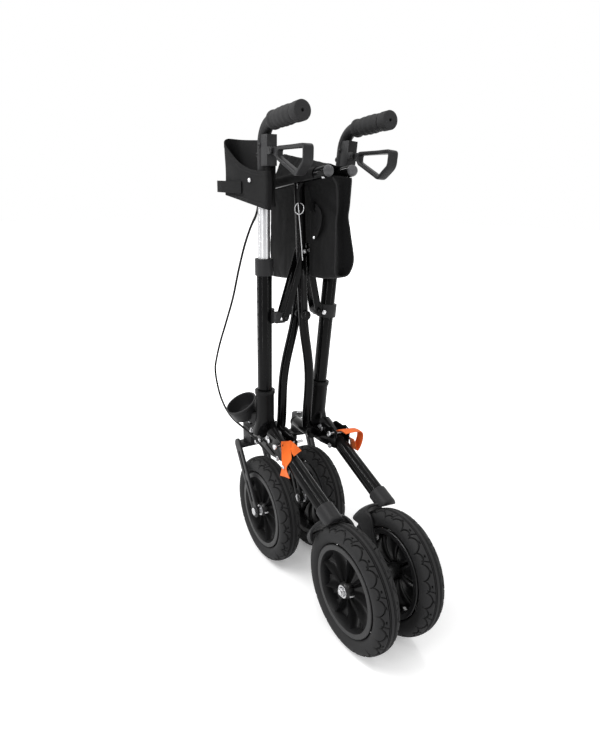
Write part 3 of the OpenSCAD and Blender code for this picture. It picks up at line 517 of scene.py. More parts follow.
def eased_copy(node, slot, radius, finish=None):
    """A copy of a CAD node with its edges rounded, which stands for that node."""
    bm = bmesh.new()
    bm.from_mesh(NODES[node].data)
    bmesh.ops.remove_doubles(bm, verts=bm.verts, dist=CAD_MERGE)
    bmesh.ops.dissolve_limit(bm, angle_limit=FLAT_ANGLE, verts=bm.verts, edges=bm.edges)
    soften(bm, radius)
    finish_piece("smooth_" + node, bm, BODY_OF[node], slot, nodes=(node,), finish=finish)


def make_eased_pieces():
    """All the CAD nodes that only need their edges rounded."""
    for side in SIDES:
        for name, row in EASED.items():
            eased_copy(f"{side}_{name}", *row)
    for name, row in EASED_SINGLE.items():
        eased_copy(name, *row)


# Wheels
TYRE_LOW, TYRE_HIGH = side_box("front_tyre")
TYRE_R = (TYRE_HIGH.z - TYRE_LOW.z) / 2
TYRE_HALF = (TYRE_HIGH.x - TYRE_LOW.x) / 2
RIM_LOW, RIM_HIGH = side_box("front_rim")
RIM_R = (RIM_HIGH.z - RIM_LOW.z) / 2
RIM_HALF = (RIM_HIGH.x - RIM_LOW.x) / 2
BEAD_R = RIM_R - 0.003
TYRE_STEPS = 624
# Round the tyre's section: first angle, last angle and steps on a sidewall, the tread and a sidewall
TYRE_ARCS = ((-76, 8, 12), (8, 172, 96), (172, 256, 12))
SQUARENESS = 2.3
# Tread: units round the tyre, depth and reach in from the crown in metres; places across it in millimetres
TREAD_UNITS = 14
TREAD_REACH = 0.017
GROOVE_DEPTH = 0.0034
CROWN_GROOVES = (4.2, 7.2)
LONG_ARC = 0.58
CUSP = 24.2
DIP = 22.4
# Slits: from and to across the tread, share of the unit, where across, drift with it, depth and half width
SLITS = (
    (9.8, 12.6, 0.29, 12, 0.0125, 1.3, 0.05), (12.5, 15.2, 0.8, 0, 0, 1.3, 0.04),
    (7.2, 21.5, 0.58, 8, 0.1 / 13, 0.9, 0.03))


def tyre_profile():
    """The tyre's outside from bead to bead, as (across, out) points: a squarish ellipse."""
    mid = (TYRE_R + BEAD_R) / 2
    rise = (TYRE_R - BEAD_R) / 2
    turns = [turn for row in TYRE_ARCS for turn in evenly(*row)[:-1]] + [TYRE_ARCS[-1][1]]
    points = []
    for turn in turns:
        wide, tall = math.cos(math.radians(turn)), math.sin(math.radians(turn))
        reach = (abs(wide) ** SQUARENESS + abs(tall) ** SQUARENESS) ** (-1 / SQUARENESS)
        points.append((-TYRE_HALF * reach * wide, mid + rise * reach * tall))
    return points


def scallop(share, start, end, bow):
    """A bowed line across the tread, in millimetres, at a share of its run."""
    return start + (end - start) * share - bow * hump(share) ** 0.7


def groove_at(unit, across):
    """How deep the tread is cut, 0 to 1, at a share of a tread unit and a distance from the crown."""
    mm = abs(across) / MM
    cuts = [1.15 - abs(mm - middle) / 0.8 for middle in CROWN_GROOVES]
    if unit < LONG_ARC:
        line = scallop(unit / LONG_ARC, CUSP, DIP, 9.5)
    else:
        line = scallop((unit - LONG_ARC) / (1 - LONG_ARC), DIP, CUSP, 5.5)
    cuts.append(1.3 - abs(mm - line) / 1.3)
    for low, high, place, at, drift, deep, half in SLITS:
        if low < mm < high:
            cuts.append(deep - abs(unit - place - drift * (mm - at)) / half)
    return clamped(1.4 * max(cuts))


def round_x(point):
    """A point's distance from the x axis, and its turn about it from z towards y."""
    return math.hypot(point.y, point.z), math.atan2(point.y, point.z)


def tyre_shape():
    """Pneumatic tyre with scalloped shoulder blocks, about the origin."""
    bm = bmesh.new()
    for vert in spun(bm, tyre_profile(), TYRE_STEPS):
        out, angle = round_x(vert.co)
        if out > TYRE_R - TREAD_REACH:
            stagger = 0.5 if vert.co.x < 0 else 0.0
            unit = (angle / math.tau * TREAD_UNITS + stagger) % 1.0
            middle = Vector((0, vert.co.y / out, vert.co.z / out)) * (TYRE_R + BEAD_R) / 2
            vert.co += (middle - vert.co).normalized() * GROOVE_DEPTH * groove_at(unit, vert.co.x)
    bmesh.ops.bridge_loops(bm, edges=[edge for edge in bm.edges if edge.is_boundary])
    close_shape(bm)
    return bm


SPOKES = 9
WELL_R = 0.0175
RING_R = RIM_R - 0.0105
WHEEL_HUB_HALF = 0.022
WHEEL_HUB_R = 0.0165
WHEEL_BORE_R = 0.0062
# The web: steps out and steps round each scoop, its front face, scoop depth, thickness and sweep,
# and its openings, as shares of a scoop and the reach in from the edge ring
WEB_STEPS = (24, 32)
WEB_FRONT = 0.0165
SCOOP_DEPTH = 0.021
WEB_WALL = 0.0024
SPOKE_SWEEP = 0.06
OPENING = (0.36, 0.64)
OPENING_REACH = 0.011


def scoop_at(share, out):
    """How far back the rim's web lies, 0 at a rib's edge and 1 at the bottom of a scoop."""
    across = 2 * abs(share - 0.5)
    reach = (out - WELL_R) / (RING_R - WELL_R)
    bowl = 1 - across ** (3 + 5 * reach)
    return bowl * (0.3 + 0.7 * hump(min(1.0, 0.12 + 0.74 * reach)))


def rim_web():
    """The rim's web, scooped between ribs and open at each scoop's end."""
    web = bmesh.new()
    radii = evenly(WELL_R - 0.003, RING_R, WEB_STEPS[0])
    spun(web, [(0, radius) for radius in radii], SPOKES * WEB_STEPS[1])
    opened = []
    for face in web.faces:
        out, angle = round_x(face.calc_center_median())
        share = (angle / math.tau * SPOKES) % 1.0
        if out > RING_R - OPENING_REACH and OPENING[0] < share < OPENING[1]:
            opened.append(face)
    bmesh.ops.delete(web, geom=opened, context="FACES")
    for vert in web.verts:
        out, angle = round_x(vert.co)
        turned = angle - SPOKE_SWEEP * math.tau / SPOKES * (out - WELL_R) / (RING_R - WELL_R)
        deep = scoop_at((angle / math.tau * SPOKES) % 1.0, out)
        vert.co = (WEB_FRONT - SCOOP_DEPTH * deep, out * math.sin(turned), out * math.cos(turned))
    face_out(web)
    bmesh.ops.solidify(web, geom=web.faces[:], thickness=WEB_WALL)
    face_out(web)
    return web


def rim_shape():
    """Moulded rim about the origin: edge ring, hub barrel and web."""
    bm = bmesh.new()
    lip, barrel = RIM_HALF, WHEEL_HUB_HALF
    edge = [(lip, RING_R), (lip, RIM_R - 0.0012), (lip - 0.0012, RIM_R), (lip - 0.004, RIM_R),
            (lip - 0.005, RIM_R - 0.009)]
    inside = [(lip * 0.55, RING_R - 0.004), (-lip * 0.55, RING_R - 0.004)]
    spun(bm, mirrored(edge) + inside, 144, closed=True)
    end = [(barrel, WHEEL_BORE_R), (barrel, 0.0135), (barrel - 0.003, 0.0145),
           (barrel - 0.003, WHEEL_HUB_R - 0.002), (barrel - 0.005, WHEEL_HUB_R)]
    spun(bm, mirrored(end, [(0, WELL_R)]), 72, closed=True)
    close_shape(bm)
    absorb(bm, rim_web())
    return bm


def make_wheels():
    """All four wheels, each on its own body."""
    rows = ((tyre_shape(), "tread_tyre", "tyre_rubber", "tyre", 50),
            (rim_shape(), "spoked_rim", "rim_plastic", "rim", 42))
    for side in SIDES:
        for end in ("front", "rear"):
            wheel = f"{side}_{end}_"
            for shape, name, slot, node, smooth in rows:
                bm = shape.copy()
                bm.transform(Matrix.Translation(side_place(end + "_wheel_spin")))
                finish_piece(wheel + name, bm, wheel + "wheel", slot, side, (wheel + node,), smooth=smooth)


# Rear fork: half its wall, and its section from the outer wing over the tyre and down the inner arm,
# as (across, out from the axle, first angle, last angle) in millimetres and degrees
FORK_WALL = 3.2
FORK_SECTION = (
    (26.4, 110, 29, 33), (26.6, 118, 28, 35), (25, 127, 28, 39), (20, 133, 28, 45), (12, 136.4, 28, 56),
    (2, 136.6, 28, 64), (-12, 136.6, 28, 65), (-26, 136.4, 28, 60), (-35, 133.6, 29, 57),
    (-41, 127.5, 31, 58), (-43.2, 118, 35, 62), (-43.6, 104, 40, 63.5), (-43.8, 84, 40.5, 63),
    (-43.8, 62, 38, 65), (-43.8, 40, 32, 71), (-43.8, 22, 18, 85), (-43.8, 12, 5, 98))
FORK_STEPS = 96
# Steps from an edge to the middle of the shell, and the share of the wall that the lip has at the first ones
FORK_SHARES = (0, 0.005, 0.016, 0.034, 0.06, 0.1, 0.16, 0.23, 0.31, 0.4)
FORK_LIP = (0.16, 0.5, 0.76, 0.92)
LEG_PLACE = side_place("leg_fold")
LEG_SLOPE = math.radians(19.5)
LEG_R = 0.016
SOCKET_R = 0.0195
SOCKET_ENDS = (0.212, 0.256)
FORK_CLEARANCE = 0.0045
AXLE_BOSS = (
    (-0.0475, 0.0066), (-0.0475, 0.0175), (-0.0455, 0.0195), (-0.033, 0.0195), (-0.031, 0.0178),
    (-0.031, 0.0066))


def fork_shell(bm, centre):
    """The fork's arch and arm as one curved shell with rounded lips, about the rear axle."""
    shares = [*FORK_SHARES, 0.5, *(1 - share for share in reversed(FORK_SHARES))]
    lips = [*FORK_LIP, *[1.0] * (len(shares) - 2 * len(FORK_LIP)), *reversed(FORK_LIP)]
    section = smooth_curve([(x, out, first) for x, out, first, last in FORK_SECTION], FORK_STEPS)
    ends = smooth_curve([(x, out, last) for x, out, first, last in FORK_SECTION], FORK_STEPS)
    skins = []
    for way in (1, -1):
        skin = []
        for k, (x, out, first) in enumerate(section):
            ahead, back = section[min(k + 1, FORK_STEPS)], section[max(k - 1, 0)]
            aside = Vector((ahead.y - back.y, back.x - ahead.x)).normalized()
            tip = min(1.0, 0.2 + 0.3 * k, 0.2 + 0.3 * (FORK_STEPS - k))
            line = []
            for share, lip in zip(shares, lips):
                angle = math.radians(first + (ends[k].z - first) * share)
                half = way * FORK_WALL * lip * tip
                wide, far = (x + half * aside.x) * MM, (out + half * aside.y) * MM
                y, z = centre.y + far * math.cos(angle), centre.z + far * math.sin(angle)
                line.append(bm.verts.new((wide, y, z)))
            skin.append(line)
        for here, there in zip(skin, skin[1:]):
            strip_faces(bm, here, there)
        skins.append(skin)
    over, under = skins
    for end in (0, -1):
        strip_faces(bm, [line[end] for line in over], [line[end] for line in under])
        strip_faces(bm, over[end], under[end])
    face_out(bm)


def make_rear_fork(side):
    """Moulded rear fork: socket on the leg, arch over the tyre's front and one arm on the inner side."""
    bm = bmesh.new()
    centre = side_place("rear_wheel_spin")
    low, high = SOCKET_ENDS
    rows = [(radius, high) for radius in (0, 0.005, 0.01, 0.0145)]
    rows += [(0.0172, high - 0.0008), (0.0188, high - 0.0026)]
    rows += [(SOCKET_R, along) for along in evenly(high - 0.0055, low + 0.0015, 24)]
    rows += [(SOCKET_R - 0.0015, low), (LEG_R + 0.0003, low)]
    spun(bm, rows, 64, axis=(0, 0, 1))
    aimed(bm, set(), LEG_PLACE, (0, -math.cos(LEG_SLOPE), -math.sin(LEG_SLOPE)))
    clear = TYRE_R + FORK_CLEARANCE
    for vert in bm.verts:
        reach = math.hypot(vert.co.y - centre.y, vert.co.z - centre.z)
        if reach < clear:
            vert.co.y = centre.y + (vert.co.y - centre.y) * clear / reach
            vert.co.z = centre.z + (vert.co.z - centre.z) * clear / reach
    face_out(bm)
    boss = spun(bm, AXLE_BOSS, 48, closed=True)
    bmesh.ops.translate(bm, verts=boss, vec=(0, centre.y, centre.z))
    fork_shell(bm, centre)
    node = side + "_rear_fork"
    finish_piece(side + "_arched_fork", bm, BODY_OF[node], "moulded_black", side, (node,), smooth=55)


# Handles: the grip's axis runs from the end of the handle's bend
BEND_ANGLE = math.radians(86)
BEND_R = 0.042
BEND_Z = 0.948
GRIP_START = 0.004
GRIP_END = 0.1136
GRIP_R = 0.018
GRIP_WAIST = 0.0158
GRIP_NOTCH = 0.088
GRIP_HOLE_R = 0.003
RIBS_START = 0.014
RIB_PITCH = 0.0165
FINE_PITCH = 0.0042
TUBE_R = 0.0127


def grip_matrix():
    """From a grip's own frame (z along it, towards the user) to the side frame."""
    return (Matrix.Translation((0, -BEND_R, BEND_Z)) @ Matrix.Rotation(BEND_ANGLE, 4, "X")
            @ Matrix.Translation((0, BEND_R, 0)))


def make_grip(side):
    """Rubber grip: front flange, finger ribs on its underside, a palm swell and a plugged end cap."""
    bm = bmesh.new()
    rows = [(TUBE_R + 0.0001, GRIP_START), (GRIP_R - 0.0015, GRIP_START), (GRIP_R, GRIP_START + 0.0015),
            (GRIP_R, GRIP_START + 0.006), (GRIP_R - 0.001, GRIP_START + 0.009)]
    for share in evenly(0, 1, 60):
        along = RIBS_START + 0.001 + (GRIP_NOTCH - RIBS_START - 0.001) * share
        rows.append((GRIP_WAIST + 0.0012 * hump(share) + 0.0005 * share, along))
    rows += [(GRIP_WAIST - 0.0022, GRIP_NOTCH + 0.0012), (GRIP_WAIST - 0.0022, GRIP_NOTCH + 0.0032),
             (GRIP_R - 0.0006, GRIP_NOTCH + 0.004), (GRIP_R, GRIP_NOTCH + 0.0055),
             (GRIP_R, GRIP_NOTCH + 0.012), (GRIP_R, GRIP_END - 0.002), (GRIP_R - 0.0006, GRIP_END - 0.0006),
             (GRIP_R - 0.002, GRIP_END), (GRIP_R - 0.008, GRIP_END), (GRIP_HOLE_R + 0.0006, GRIP_END),
             (GRIP_HOLE_R, GRIP_END - 0.0006), (GRIP_HOLE_R, GRIP_END - 0.009)]
    for vert in spun(bm, rows, 72, axis=(0, 0, 1)):
        out, along = math.hypot(vert.co.x, vert.co.y), vert.co.z
        if out < 0.0135 or not RIBS_START < along < GRIP_NOTCH:
            continue
        under, over = max(0.0, -vert.co.y / out), max(0.0, vert.co.y / out)
        aside = abs(vert.co.x) / out
        fade = min(1.0, (along - RIBS_START) / 0.008, (GRIP_NOTCH - along) / 0.012)
        rib = math.cos(math.tau * along / RIB_PITCH) * (0.4 + 0.6 * under) * (1 - 0.4 * aside)
        fine = math.sin(math.tau * along / FINE_PITCH) * max(0.0, aside - 0.3)
        swell = 1 + fade * (0.001 * rib + 0.001 * over + 0.00025 * fine) / out
        vert.co.x *= swell
        vert.co.y *= swell
    ends = [edge for edge in bm.edges if edge.is_boundary and edge.calc_length() < 0.0005]
    bmesh.ops.holes_fill(bm, edges=ends, sides=0)
    close_shape(bm)
    bm.transform(grip_matrix())
    nodes = (side + "_grip",)
    finish_piece(side + "_ribbed_grip", bm, side + "_handle", "grip_rubber", side, nodes, smooth=45)


def rounded_path(corners, radius, count=6):
    """A closed outline in a plane with each corner rounded."""
    path = []
    for i, corner in enumerate(corners):
        here, back, ahead = Vector(corner), Vector(corners[i - 1]), Vector(corners[(i + 1) % len(corners)])
        start = here + (back - here).normalized() * radius
        end = here + (ahead - here).normalized() * radius
        for share in evenly(0, 1, count):
            path.append(start * (1 - share) ** 2 + here * 2 * share * (1 - share) + end * share ** 2)
    return path


LEVER_PIN = side_place("brake_squeeze")
LEVER_OUTER = ((-0.063, 0.943), (-0.176, 0.943), (-0.176, 0.911), (-0.1435, 0.886), (-0.063, 0.9193))
LEVER_INNER = ((-0.0705, 0.9357), (-0.1685, 0.9357), (-0.1685, 0.9145), (-0.1425, 0.8948), (-0.0705, 0.9241))
LEVER_NECK = ((-0.067, 0.9405), (-0.067, 0.9215))
LEVER_EYE_R = 0.0068
NECK_HALF = 0.0055


def lever_width(y):
    """Half the width of the lever's bar: slim beside the grip and wide at the rear."""
    rear = clamped((-0.125 - y) / 0.035)
    return 0.0075 + 0.0035 * rear * rear * (3 - 2 * rear)


def make_lever(side):
    """Looped brake lever: slim upper and lower bars, a wide flat bar at the rear and a neck to its pin."""
    bm = bmesh.new()
    rings = []
    loops = list(zip(rounded_path(LEVER_OUTER, 0.0095), rounded_path(LEVER_INNER, 0.0045)))
    for here, ahead in zip(loops, loops[1:] + loops[:1]):
        cuts = max(1, int((ahead[0] - here[0]).length / 0.008))
        for k in range(cuts):
            (y, z), (yy, zz) = here[0].lerp(ahead[0], k / cuts), here[1].lerp(ahead[1], k / cuts)
            wide, slim = lever_width(y), lever_width(y) - 0.0012
            places = ((-wide, y, z), (wide, y, z), (slim, yy, zz), (-slim, yy, zz))
            rings.append([bm.verts.new(place) for place in places])
    for first, second in zip(rings, rings[1:] + rings[:1]):
        strip_faces(bm, first + first[:1], second + second[:1])
    close_shape(bm)
    soften(bm, 0.0022, angle=50, segments=3)
    outline = [*LEVER_NECK, *arc((LEVER_PIN.y, LEVER_PIN.z), LEVER_EYE_R, -105, 95, 14)]
    plate = bm.faces.new([bm.verts.new((-NECK_HALF, y, z)) for y, z in outline])
    grown = bmesh.ops.extrude_face_region(bm, geom=[plate])
    raised = [item for item in grown["geom"] if isinstance(item, bmesh.types.BMVert)]
    bmesh.ops.translate(bm, verts=raised, vec=(2 * NECK_HALF, 0, 0))
    close_shape(bm)
    finish_piece(side + "_loop_lever", bm, side + "_lever", "moulded_black", side, (side + "_brake_lever",))


# Small fasteners
BOLT_PARTS = ((28, 1.45, 1.38, 0.28, 0.14), (6, 1.0, 1.0, 0.62, 0.55), (20, 0.78, 0.5, 0.2, 0.96))


def hex_bolt(bm, place, toward, head_r, head_h):
    """A chamfered hexagon head on a washer, standing on a place and pointing along a direction."""
    start = set(bm.verts)
    for sides, low, high, depth, middle in BOLT_PARTS:
        bmesh.ops.create_cone(
            bm, cap_ends=True, segments=sides, radius1=head_r * low, radius2=head_r * high,
            depth=head_h * depth, matrix=Matrix.Translation((0, 0, head_h * middle)))
    aimed(bm, start, place, toward)


def button_head(bm, place, toward, radius, height):
    """A round domed head with a socket, such as a rivet or button screw."""
    start = set(bm.verts)
    rows = [(0, height * 0.55), (radius * 0.28, height * 0.55), (radius * 0.34, height)]
    for angle in map(math.radians, (65, 40, 18, 0)):
        rows.append((radius * math.cos(angle), height * math.sin(angle)))
    spun(bm, rows, 24, axis=(0, 0, 1))
    aimed(bm, start, place, toward)


FRAME_BOLTS = ((0.031, 0.318), (-0.0505, 0.3304), (0.0066, 0.2994), (-0.098, 0.3))
FRAME_BOLT_SIZE = (0.0042, 0.0042)
STAY_BOLT_SIZE = (0.0036, 0.0036)
STAY_BOLT_INSET = 0.008
# The clamp's bolt, and how far its face lies in front of the clamp's rear end
CLAMP_BOLT = (-0.0215, 0.5985)
CLAMP_FACE = {"left": 0.006, "right": 0.0}
HANDLE_SCREWS = ((-0.004, 0.947), (0.006, 0.929))
BEARING_RING = ((0.0092, -0.001), (0.0092, 0.0009), (0.0128, 0.0009), (0.0131, 0.0002), (0.0131, -0.001))
VALVE_PLACE = Vector((0.0125, -0.026, 0.004))


def make_frame_hardware(side):
    """Bolts and screws on one side frame, its handle and its stay."""
    bm = bmesh.new()
    plate = side_box("leg_channel")[1].x
    for y, z in FRAME_BOLTS:
        for way in (1, -1):
            hex_bolt(bm, (way * plate, y, z), (way, 0, 0), *FRAME_BOLT_SIZE)
    x, z = CLAMP_BOLT
    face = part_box(side + "_stay_clamp")[0].y + CLAMP_FACE[side]
    hex_bolt(bm, (x, face, z), (0, -1, 0), *STAY_BOLT_SIZE)
    finish_piece(side + "_frame_hardware", bm, side + "_frame", "zinc", side)
    bm = bmesh.new()
    for y, z in HANDLE_SCREWS:
        out = math.sqrt(TUBE_R ** 2 - y ** 2) - 0.0008
        for way in (1, -1):
            button_head(bm, (way * out, y, z), (way, 0, 0), 0.0052, 0.0028)
    finish_piece(side + "_handle_screws", bm, side + "_handle", "moulded_black", side)
    bm = bmesh.new()
    low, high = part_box(side + "_stay")
    x = high.x - STAY_BOLT_INSET if side == "left" else low.x + STAY_BOLT_INSET
    hex_bolt(bm, (x, low.y, high.z - STAY_BOLT_INSET), (0, -1, 0), *STAY_BOLT_SIZE)
    finish_piece(side + "_stay_bolt", bm, BODY_OF[side + "_stay"], "zinc")


def make_wheel_hardware(side, end):
    """Bearing rings, a valve stem and, on the rear wheel's outside, an axle nut."""
    bm = bmesh.new()
    centre = side_place(end + "_wheel_spin")
    for way in (1, -1):
        start = set(bm.verts)
        spun(bm, BEARING_RING, 40, axis=(0, 0, 1), closed=True)
        aimed(bm, start, centre + Vector((way * WHEEL_HUB_HALF, 0, 0)), (way, 0, 0))
    start = set(bm.verts)
    bmesh.ops.create_cone(bm, cap_ends=True, segments=16, radius1=0.0024, radius2=0.002, depth=0.009,
                          matrix=Matrix.Translation((0, 0, 0.0045)))
    aimed(bm, start, centre + VALVE_PLACE, (0.95, 0.3, 0))
    finish_piece(f"{side}_{end}_wheel_hardware", bm, f"{side}_{end}_wheel", "zinc", side)
    if end == "rear":
        bm = bmesh.new()
        outer = side_box("rear_axle")[1].x
        hex_bolt(bm, (outer - 0.003, centre.y, centre.z), (1, 0, 0), 0.0066, 0.006)
        finish_piece(side + "_axle_nut", bm, side + "_leg", "zinc", side)


CUP_MOUTH = Vector((0.034, 0.06, 0.3815))
CUP_TILT = math.radians(29)
CUP_R = 0.0375
CUP_DEPTH = 0.036
CUP_WALL = 0.0028
CUP_ARM_Z = 0.352
CUP_ARM_TURN = math.radians(-22)


def make_cup():
    """Cup holder leaning outwards beside the left hub, with a rolled rim and the arm that carries it."""
    bm = bmesh.new()
    low, floor = CUP_R - 0.003, -CUP_DEPTH
    rows = [(0, floor), (low - 0.004, floor), (low, floor + 0.004), (CUP_R - 0.0012, -0.007),
            (CUP_R + 0.001, -0.0055), (CUP_R + 0.0016, -0.0015), (CUP_R + 0.0004, 0),
            (CUP_R - CUP_WALL, -0.0006), (low - CUP_WALL, floor + 0.006),
            (low - CUP_WALL - 0.003, floor + 0.003), (0, floor + 0.003)]
    spun(bm, rows, 72, axis=(0, 0, 1))
    bm.transform(Matrix.Translation(CUP_MOUTH) @ Matrix.Rotation(CUP_TILT, 4, "Y"))
    arm = bmesh.new()
    block(arm, (0, 0.033, 0), (0.024, 0.03, 0.026))
    soften(arm, 0.004, segments=3)
    arm.transform(Matrix.Translation((0, 0, CUP_ARM_Z)) @ Matrix.Rotation(CUP_ARM_TURN, 4, "Z"))
    absorb(bm, arm)
    close_shape(bm)
    node = "cup_holder"
    finish_piece("leaning_cup", bm, BODY_OF[node], "moulded_black", "left", (node,), smooth=45)


# Cloth and webbing
CLOTH = 0.0016
WEBBING = 0.0014


def cloth_grid(bm, rows):
    """Faces over rows of points, with a UV map in metres measured along the middle row and column."""
    uv = bm.loops.layers.uv.verify()
    across = run_lengths(rows[len(rows) // 2])
    along = run_lengths([row[len(row) // 2] for row in rows])
    verts = [[bm.verts.new(point) for point in row] for row in rows]
    for i in range(len(rows) - 1):
        for j in range(len(across) - 1):
            corners = ((i, j), (i, j + 1), (i + 1, j + 1), (i + 1, j))
            face = bm.faces.new([verts[a][b] for a, b in corners])
            for loop, (a, b) in zip(face.loops, corners):
                loop[uv].uv = (across[b], along[a])


def thicken(bm, thickness):
    """Gives a cloth surface its thickness."""
    close_shape(bm)
    bmesh.ops.solidify(bm, geom=bm.faces[:], thickness=thickness)
    face_out(bm)


def ribbon(bm, left, right, steps, cross=6, slack=0.0):
    """A strip between two edge curves; slack bows it outwards across its width."""
    rows = []
    for a, b in zip(smooth_curve(left, steps), smooth_curve(right, steps)):
        rows.append([a.lerp(b, share) for share in evenly(0, 1, cross)])
    for i, row in enumerate(rows):
        ahead = rows[min(i + 1, steps)][0] - rows[max(i - 1, 0)][0]
        away = ahead.cross(row[-1] - row[0]).normalized()
        for j, point in enumerate(row):
            row[j] = point + away * slack * hump(j / cross)
    cloth_grid(bm, rows)


def tube_along(bm, line, radius, sides=8):
    """A closed round tube along a line of points."""
    rings = []
    side = Vector((0.31, 0.52, 0.79))
    turns = [math.tau * k / sides for k in range(sides)]
    for i, here in enumerate(line):
        way = (line[min(i + 1, len(line) - 1)] - line[max(i - 1, 0)]).normalized()
        side = (side - way * side.dot(way)).normalized()
        other = way.cross(side)
        round_here = [here + radius * (math.cos(a) * side + math.sin(a) * other) for a in turns]
        rings.append([bm.verts.new(point) for point in round_here])
    for first, second in zip(rings, rings[1:]):
        strip_faces(bm, first + first[:1], second + second[:1])
    bm.faces.new(rings[0][::-1])
    bm.faces.new(rings[-1])


def stitches(bm, line, away, length=0.0026, gap=0.002, radius=0.00035):
    """A row of short threads along a line, lying on a surface that faces away."""
    far = run_lengths(line)
    lift = Vector(away) * radius
    k = 0
    for n in range(int(far[-1] / (length + gap))):
        ends = []
        for reach in (n * (length + gap), n * (length + gap) + length):
            while k < len(far) - 2 and far[k + 1] < reach:
                k += 1
            share = min(1.0, (reach - far[k]) / max(1e-9, far[k + 1] - far[k]))
            ends.append(line[k].lerp(line[k + 1], share) + lift * 0.4)
        tube_along(bm, [ends[0], ends[0].lerp(ends[1], 0.5) + lift * 0.6, ends[1]], radius, 5)


# Fabric band on the left handle
POUCH_REAR = -0.05
POUCH_FRONT = 0.167
POUCH_HALF = 0.0185
POUCH_FOLD = POUCH_FRONT - POUCH_HALF
POUCH_INNER_REAR = -0.016
POUCH_WALL = 0.0024
POUCH_STEPS = 26
POUCH_HEM = 0.009
POUCH_FACE = POUCH_HALF + 0.0023
STITCH_INSET = 0.0075
# The webbing loop's plan, its height at the start, its rise to the end and half its width
LOOP_PLAN = ((0.0245, 0.058), (0.0252, 0.1), (0.0248, 0.14), (0.0245, 0.168), (0.021, 0.196), (0.009, 0.212),
             (-0.003, 0.208), (-0.004, 0.192), (0.003, 0.178), (0.0045, 0.1705))
LOOP_Z = 0.8665
LOOP_RISE = 0.003
LOOP_HALF = 0.0125


def pouch_edges(x, y):
    """Lower and upper edge heights of the band at a place round its fold."""
    share = (y - POUCH_REAR) / (POUCH_FRONT - POUCH_REAR)
    low = 0.825 + 0.026 * share
    if x > 0.004:
        high = 0.898 + 0.071 * max(0.0, share) ** 2.6
    else:
        high = 0.969 - 0.013 * (1 - share) ** 0.7
    return low, high


def pouch_bulge(share, y):
    """How far the band swells out at a share of its height and a place fore and aft."""
    return 0.0022 * hump(share) * hump(clamped(y / 0.16))


def make_pouch():
    """Fabric band folded round the front, with hems, a stud, stitching and a webbing loop."""
    columns = [(POUCH_HALF - 0.008, POUCH_REAR - 0.004), (POUCH_HALF - 0.002, POUCH_REAR - 0.002),
               (POUCH_HALF, POUCH_REAR + 0.006)]
    columns += [(POUCH_HALF, y) for y in evenly(POUCH_REAR + 0.012, POUCH_FOLD, 40)]
    columns += arc((0, POUCH_FOLD), POUCH_HALF, 8, 180, 14)
    columns += [(-POUCH_HALF, y) for y in evenly(POUCH_FOLD, POUCH_INNER_REAR, 24)[1:]]
    rows = []
    for share in evenly(0, 1, POUCH_STEPS):
        row = []
        for x, y in columns:
            low, high = pouch_edges(x, y)
            z = low + (high - low) * share
            swell = 0.0007 if min(z - low, high - z) < POUCH_HEM else 0.0
            drift = 0.0016 * noise.noise(Vector((3.0 if x > 0 else 9.0, y * 16, z * 19)))
            away = Vector((x, max(0.0, y - POUCH_FOLD), 0)).normalized()
            row.append(Vector((x, y, z)) + away * (swell + drift + pouch_bulge(share, y)))
        rows.append(row)
    bm = bmesh.new()
    cloth_grid(bm, rows)
    thicken(bm, POUCH_WALL)
    finish_piece("folded_pouch", bm, "left_handle", "fabric_black", "left", ("side_pouch",), smooth=60)
    make_pouch_stitching()
    make_pouch_loop()
    bm = bmesh.new()
    button_head(bm, (POUCH_FACE + 0.0004, 0.023, 0.881), (1, 0, 0), 0.005, 0.004)
    finish_piece("pouch_stud", bm, "left_handle", "zinc", "left")


def make_pouch_stitching():
    """A row of stitches along each hem of the band's outside."""
    bm = bmesh.new()
    for upper in (True, False):
        line = []
        for y in evenly(POUCH_REAR + 0.008, 0.134, 60):
            low, high = pouch_edges(POUCH_HALF, y)
            z = high - STITCH_INSET if upper else low + STITCH_INSET
            line.append(Vector((POUCH_FACE + pouch_bulge((z - low) / (high - low), y), y, z)))
        stitches(bm, line, (1, 0, 0))
    finish_piece("pouch_stitching", bm, "left_handle", "fabric_black", "left", finish="thread")


def make_pouch_loop():
    """Webbing loop sewn to the band's outside, standing out in front of the fold."""
    edges = ([], [])
    for i, (x, y) in enumerate(LOOP_PLAN):
        middle = LOOP_Z + LOOP_RISE * i / len(LOOP_PLAN)
        half = LOOP_HALF * (1 if i < 6 else 0.96)
        for edge, way in zip(edges, (-1, 1)):
            edge.append((x, y, middle + way * half))
    bm = bmesh.new()
    ribbon(bm, *edges, 60)
    thicken(bm, 0.0017)
    finish_piece(
        "pouch_webbing_loop", bm, "left_handle", "fabric_black", "left", finish="webbing_black", smooth=60)


# Hanging bag and folded seat between the rails
RAIL_R = 0.011
RAIL_SLOPE = math.tan(math.radians(7))
LEFT_RAIL = Vector((0.0107, -0.028, 0.8856))
RIGHT_RAIL = Vector((0.0659, 0.002, 0.8832))
BRACES = ("rear_brace", "front_brace", (LEFT_RAIL.x, 0, LEFT_RAIL.z), (RIGHT_RAIL.x, 0, LEFT_RAIL.z))
BAG_HALVES = (("rear_bag_half", -0.135, -0.0415, ("seat_bag",)), ("front_bag_half", 0.0155, 0.139, ()))
BAG_FALL = 0.13
BAG_STEPS = 64
GUSSET_STEPS = 16
GUSSET_DEPTH = 0.016
CREASE = 0.0026
# The bag's section at its rear end, under the rails
BAG_HUNG = ((0.0345, 0.8), (0.034, 0.74), (0.0355, 0.706), (0.042, 0.698), (0.058, 0.697), (0.0705, 0.704),
            (0.0775, 0.727), (0.072, 0.768), (0.0625, 0.814), (0.0655, 0.84))


def rail_height(rail, y):
    """Height of a rail's middle at a place fore and aft."""
    return rail.z - (y - rail.y) * RAIL_SLOPE


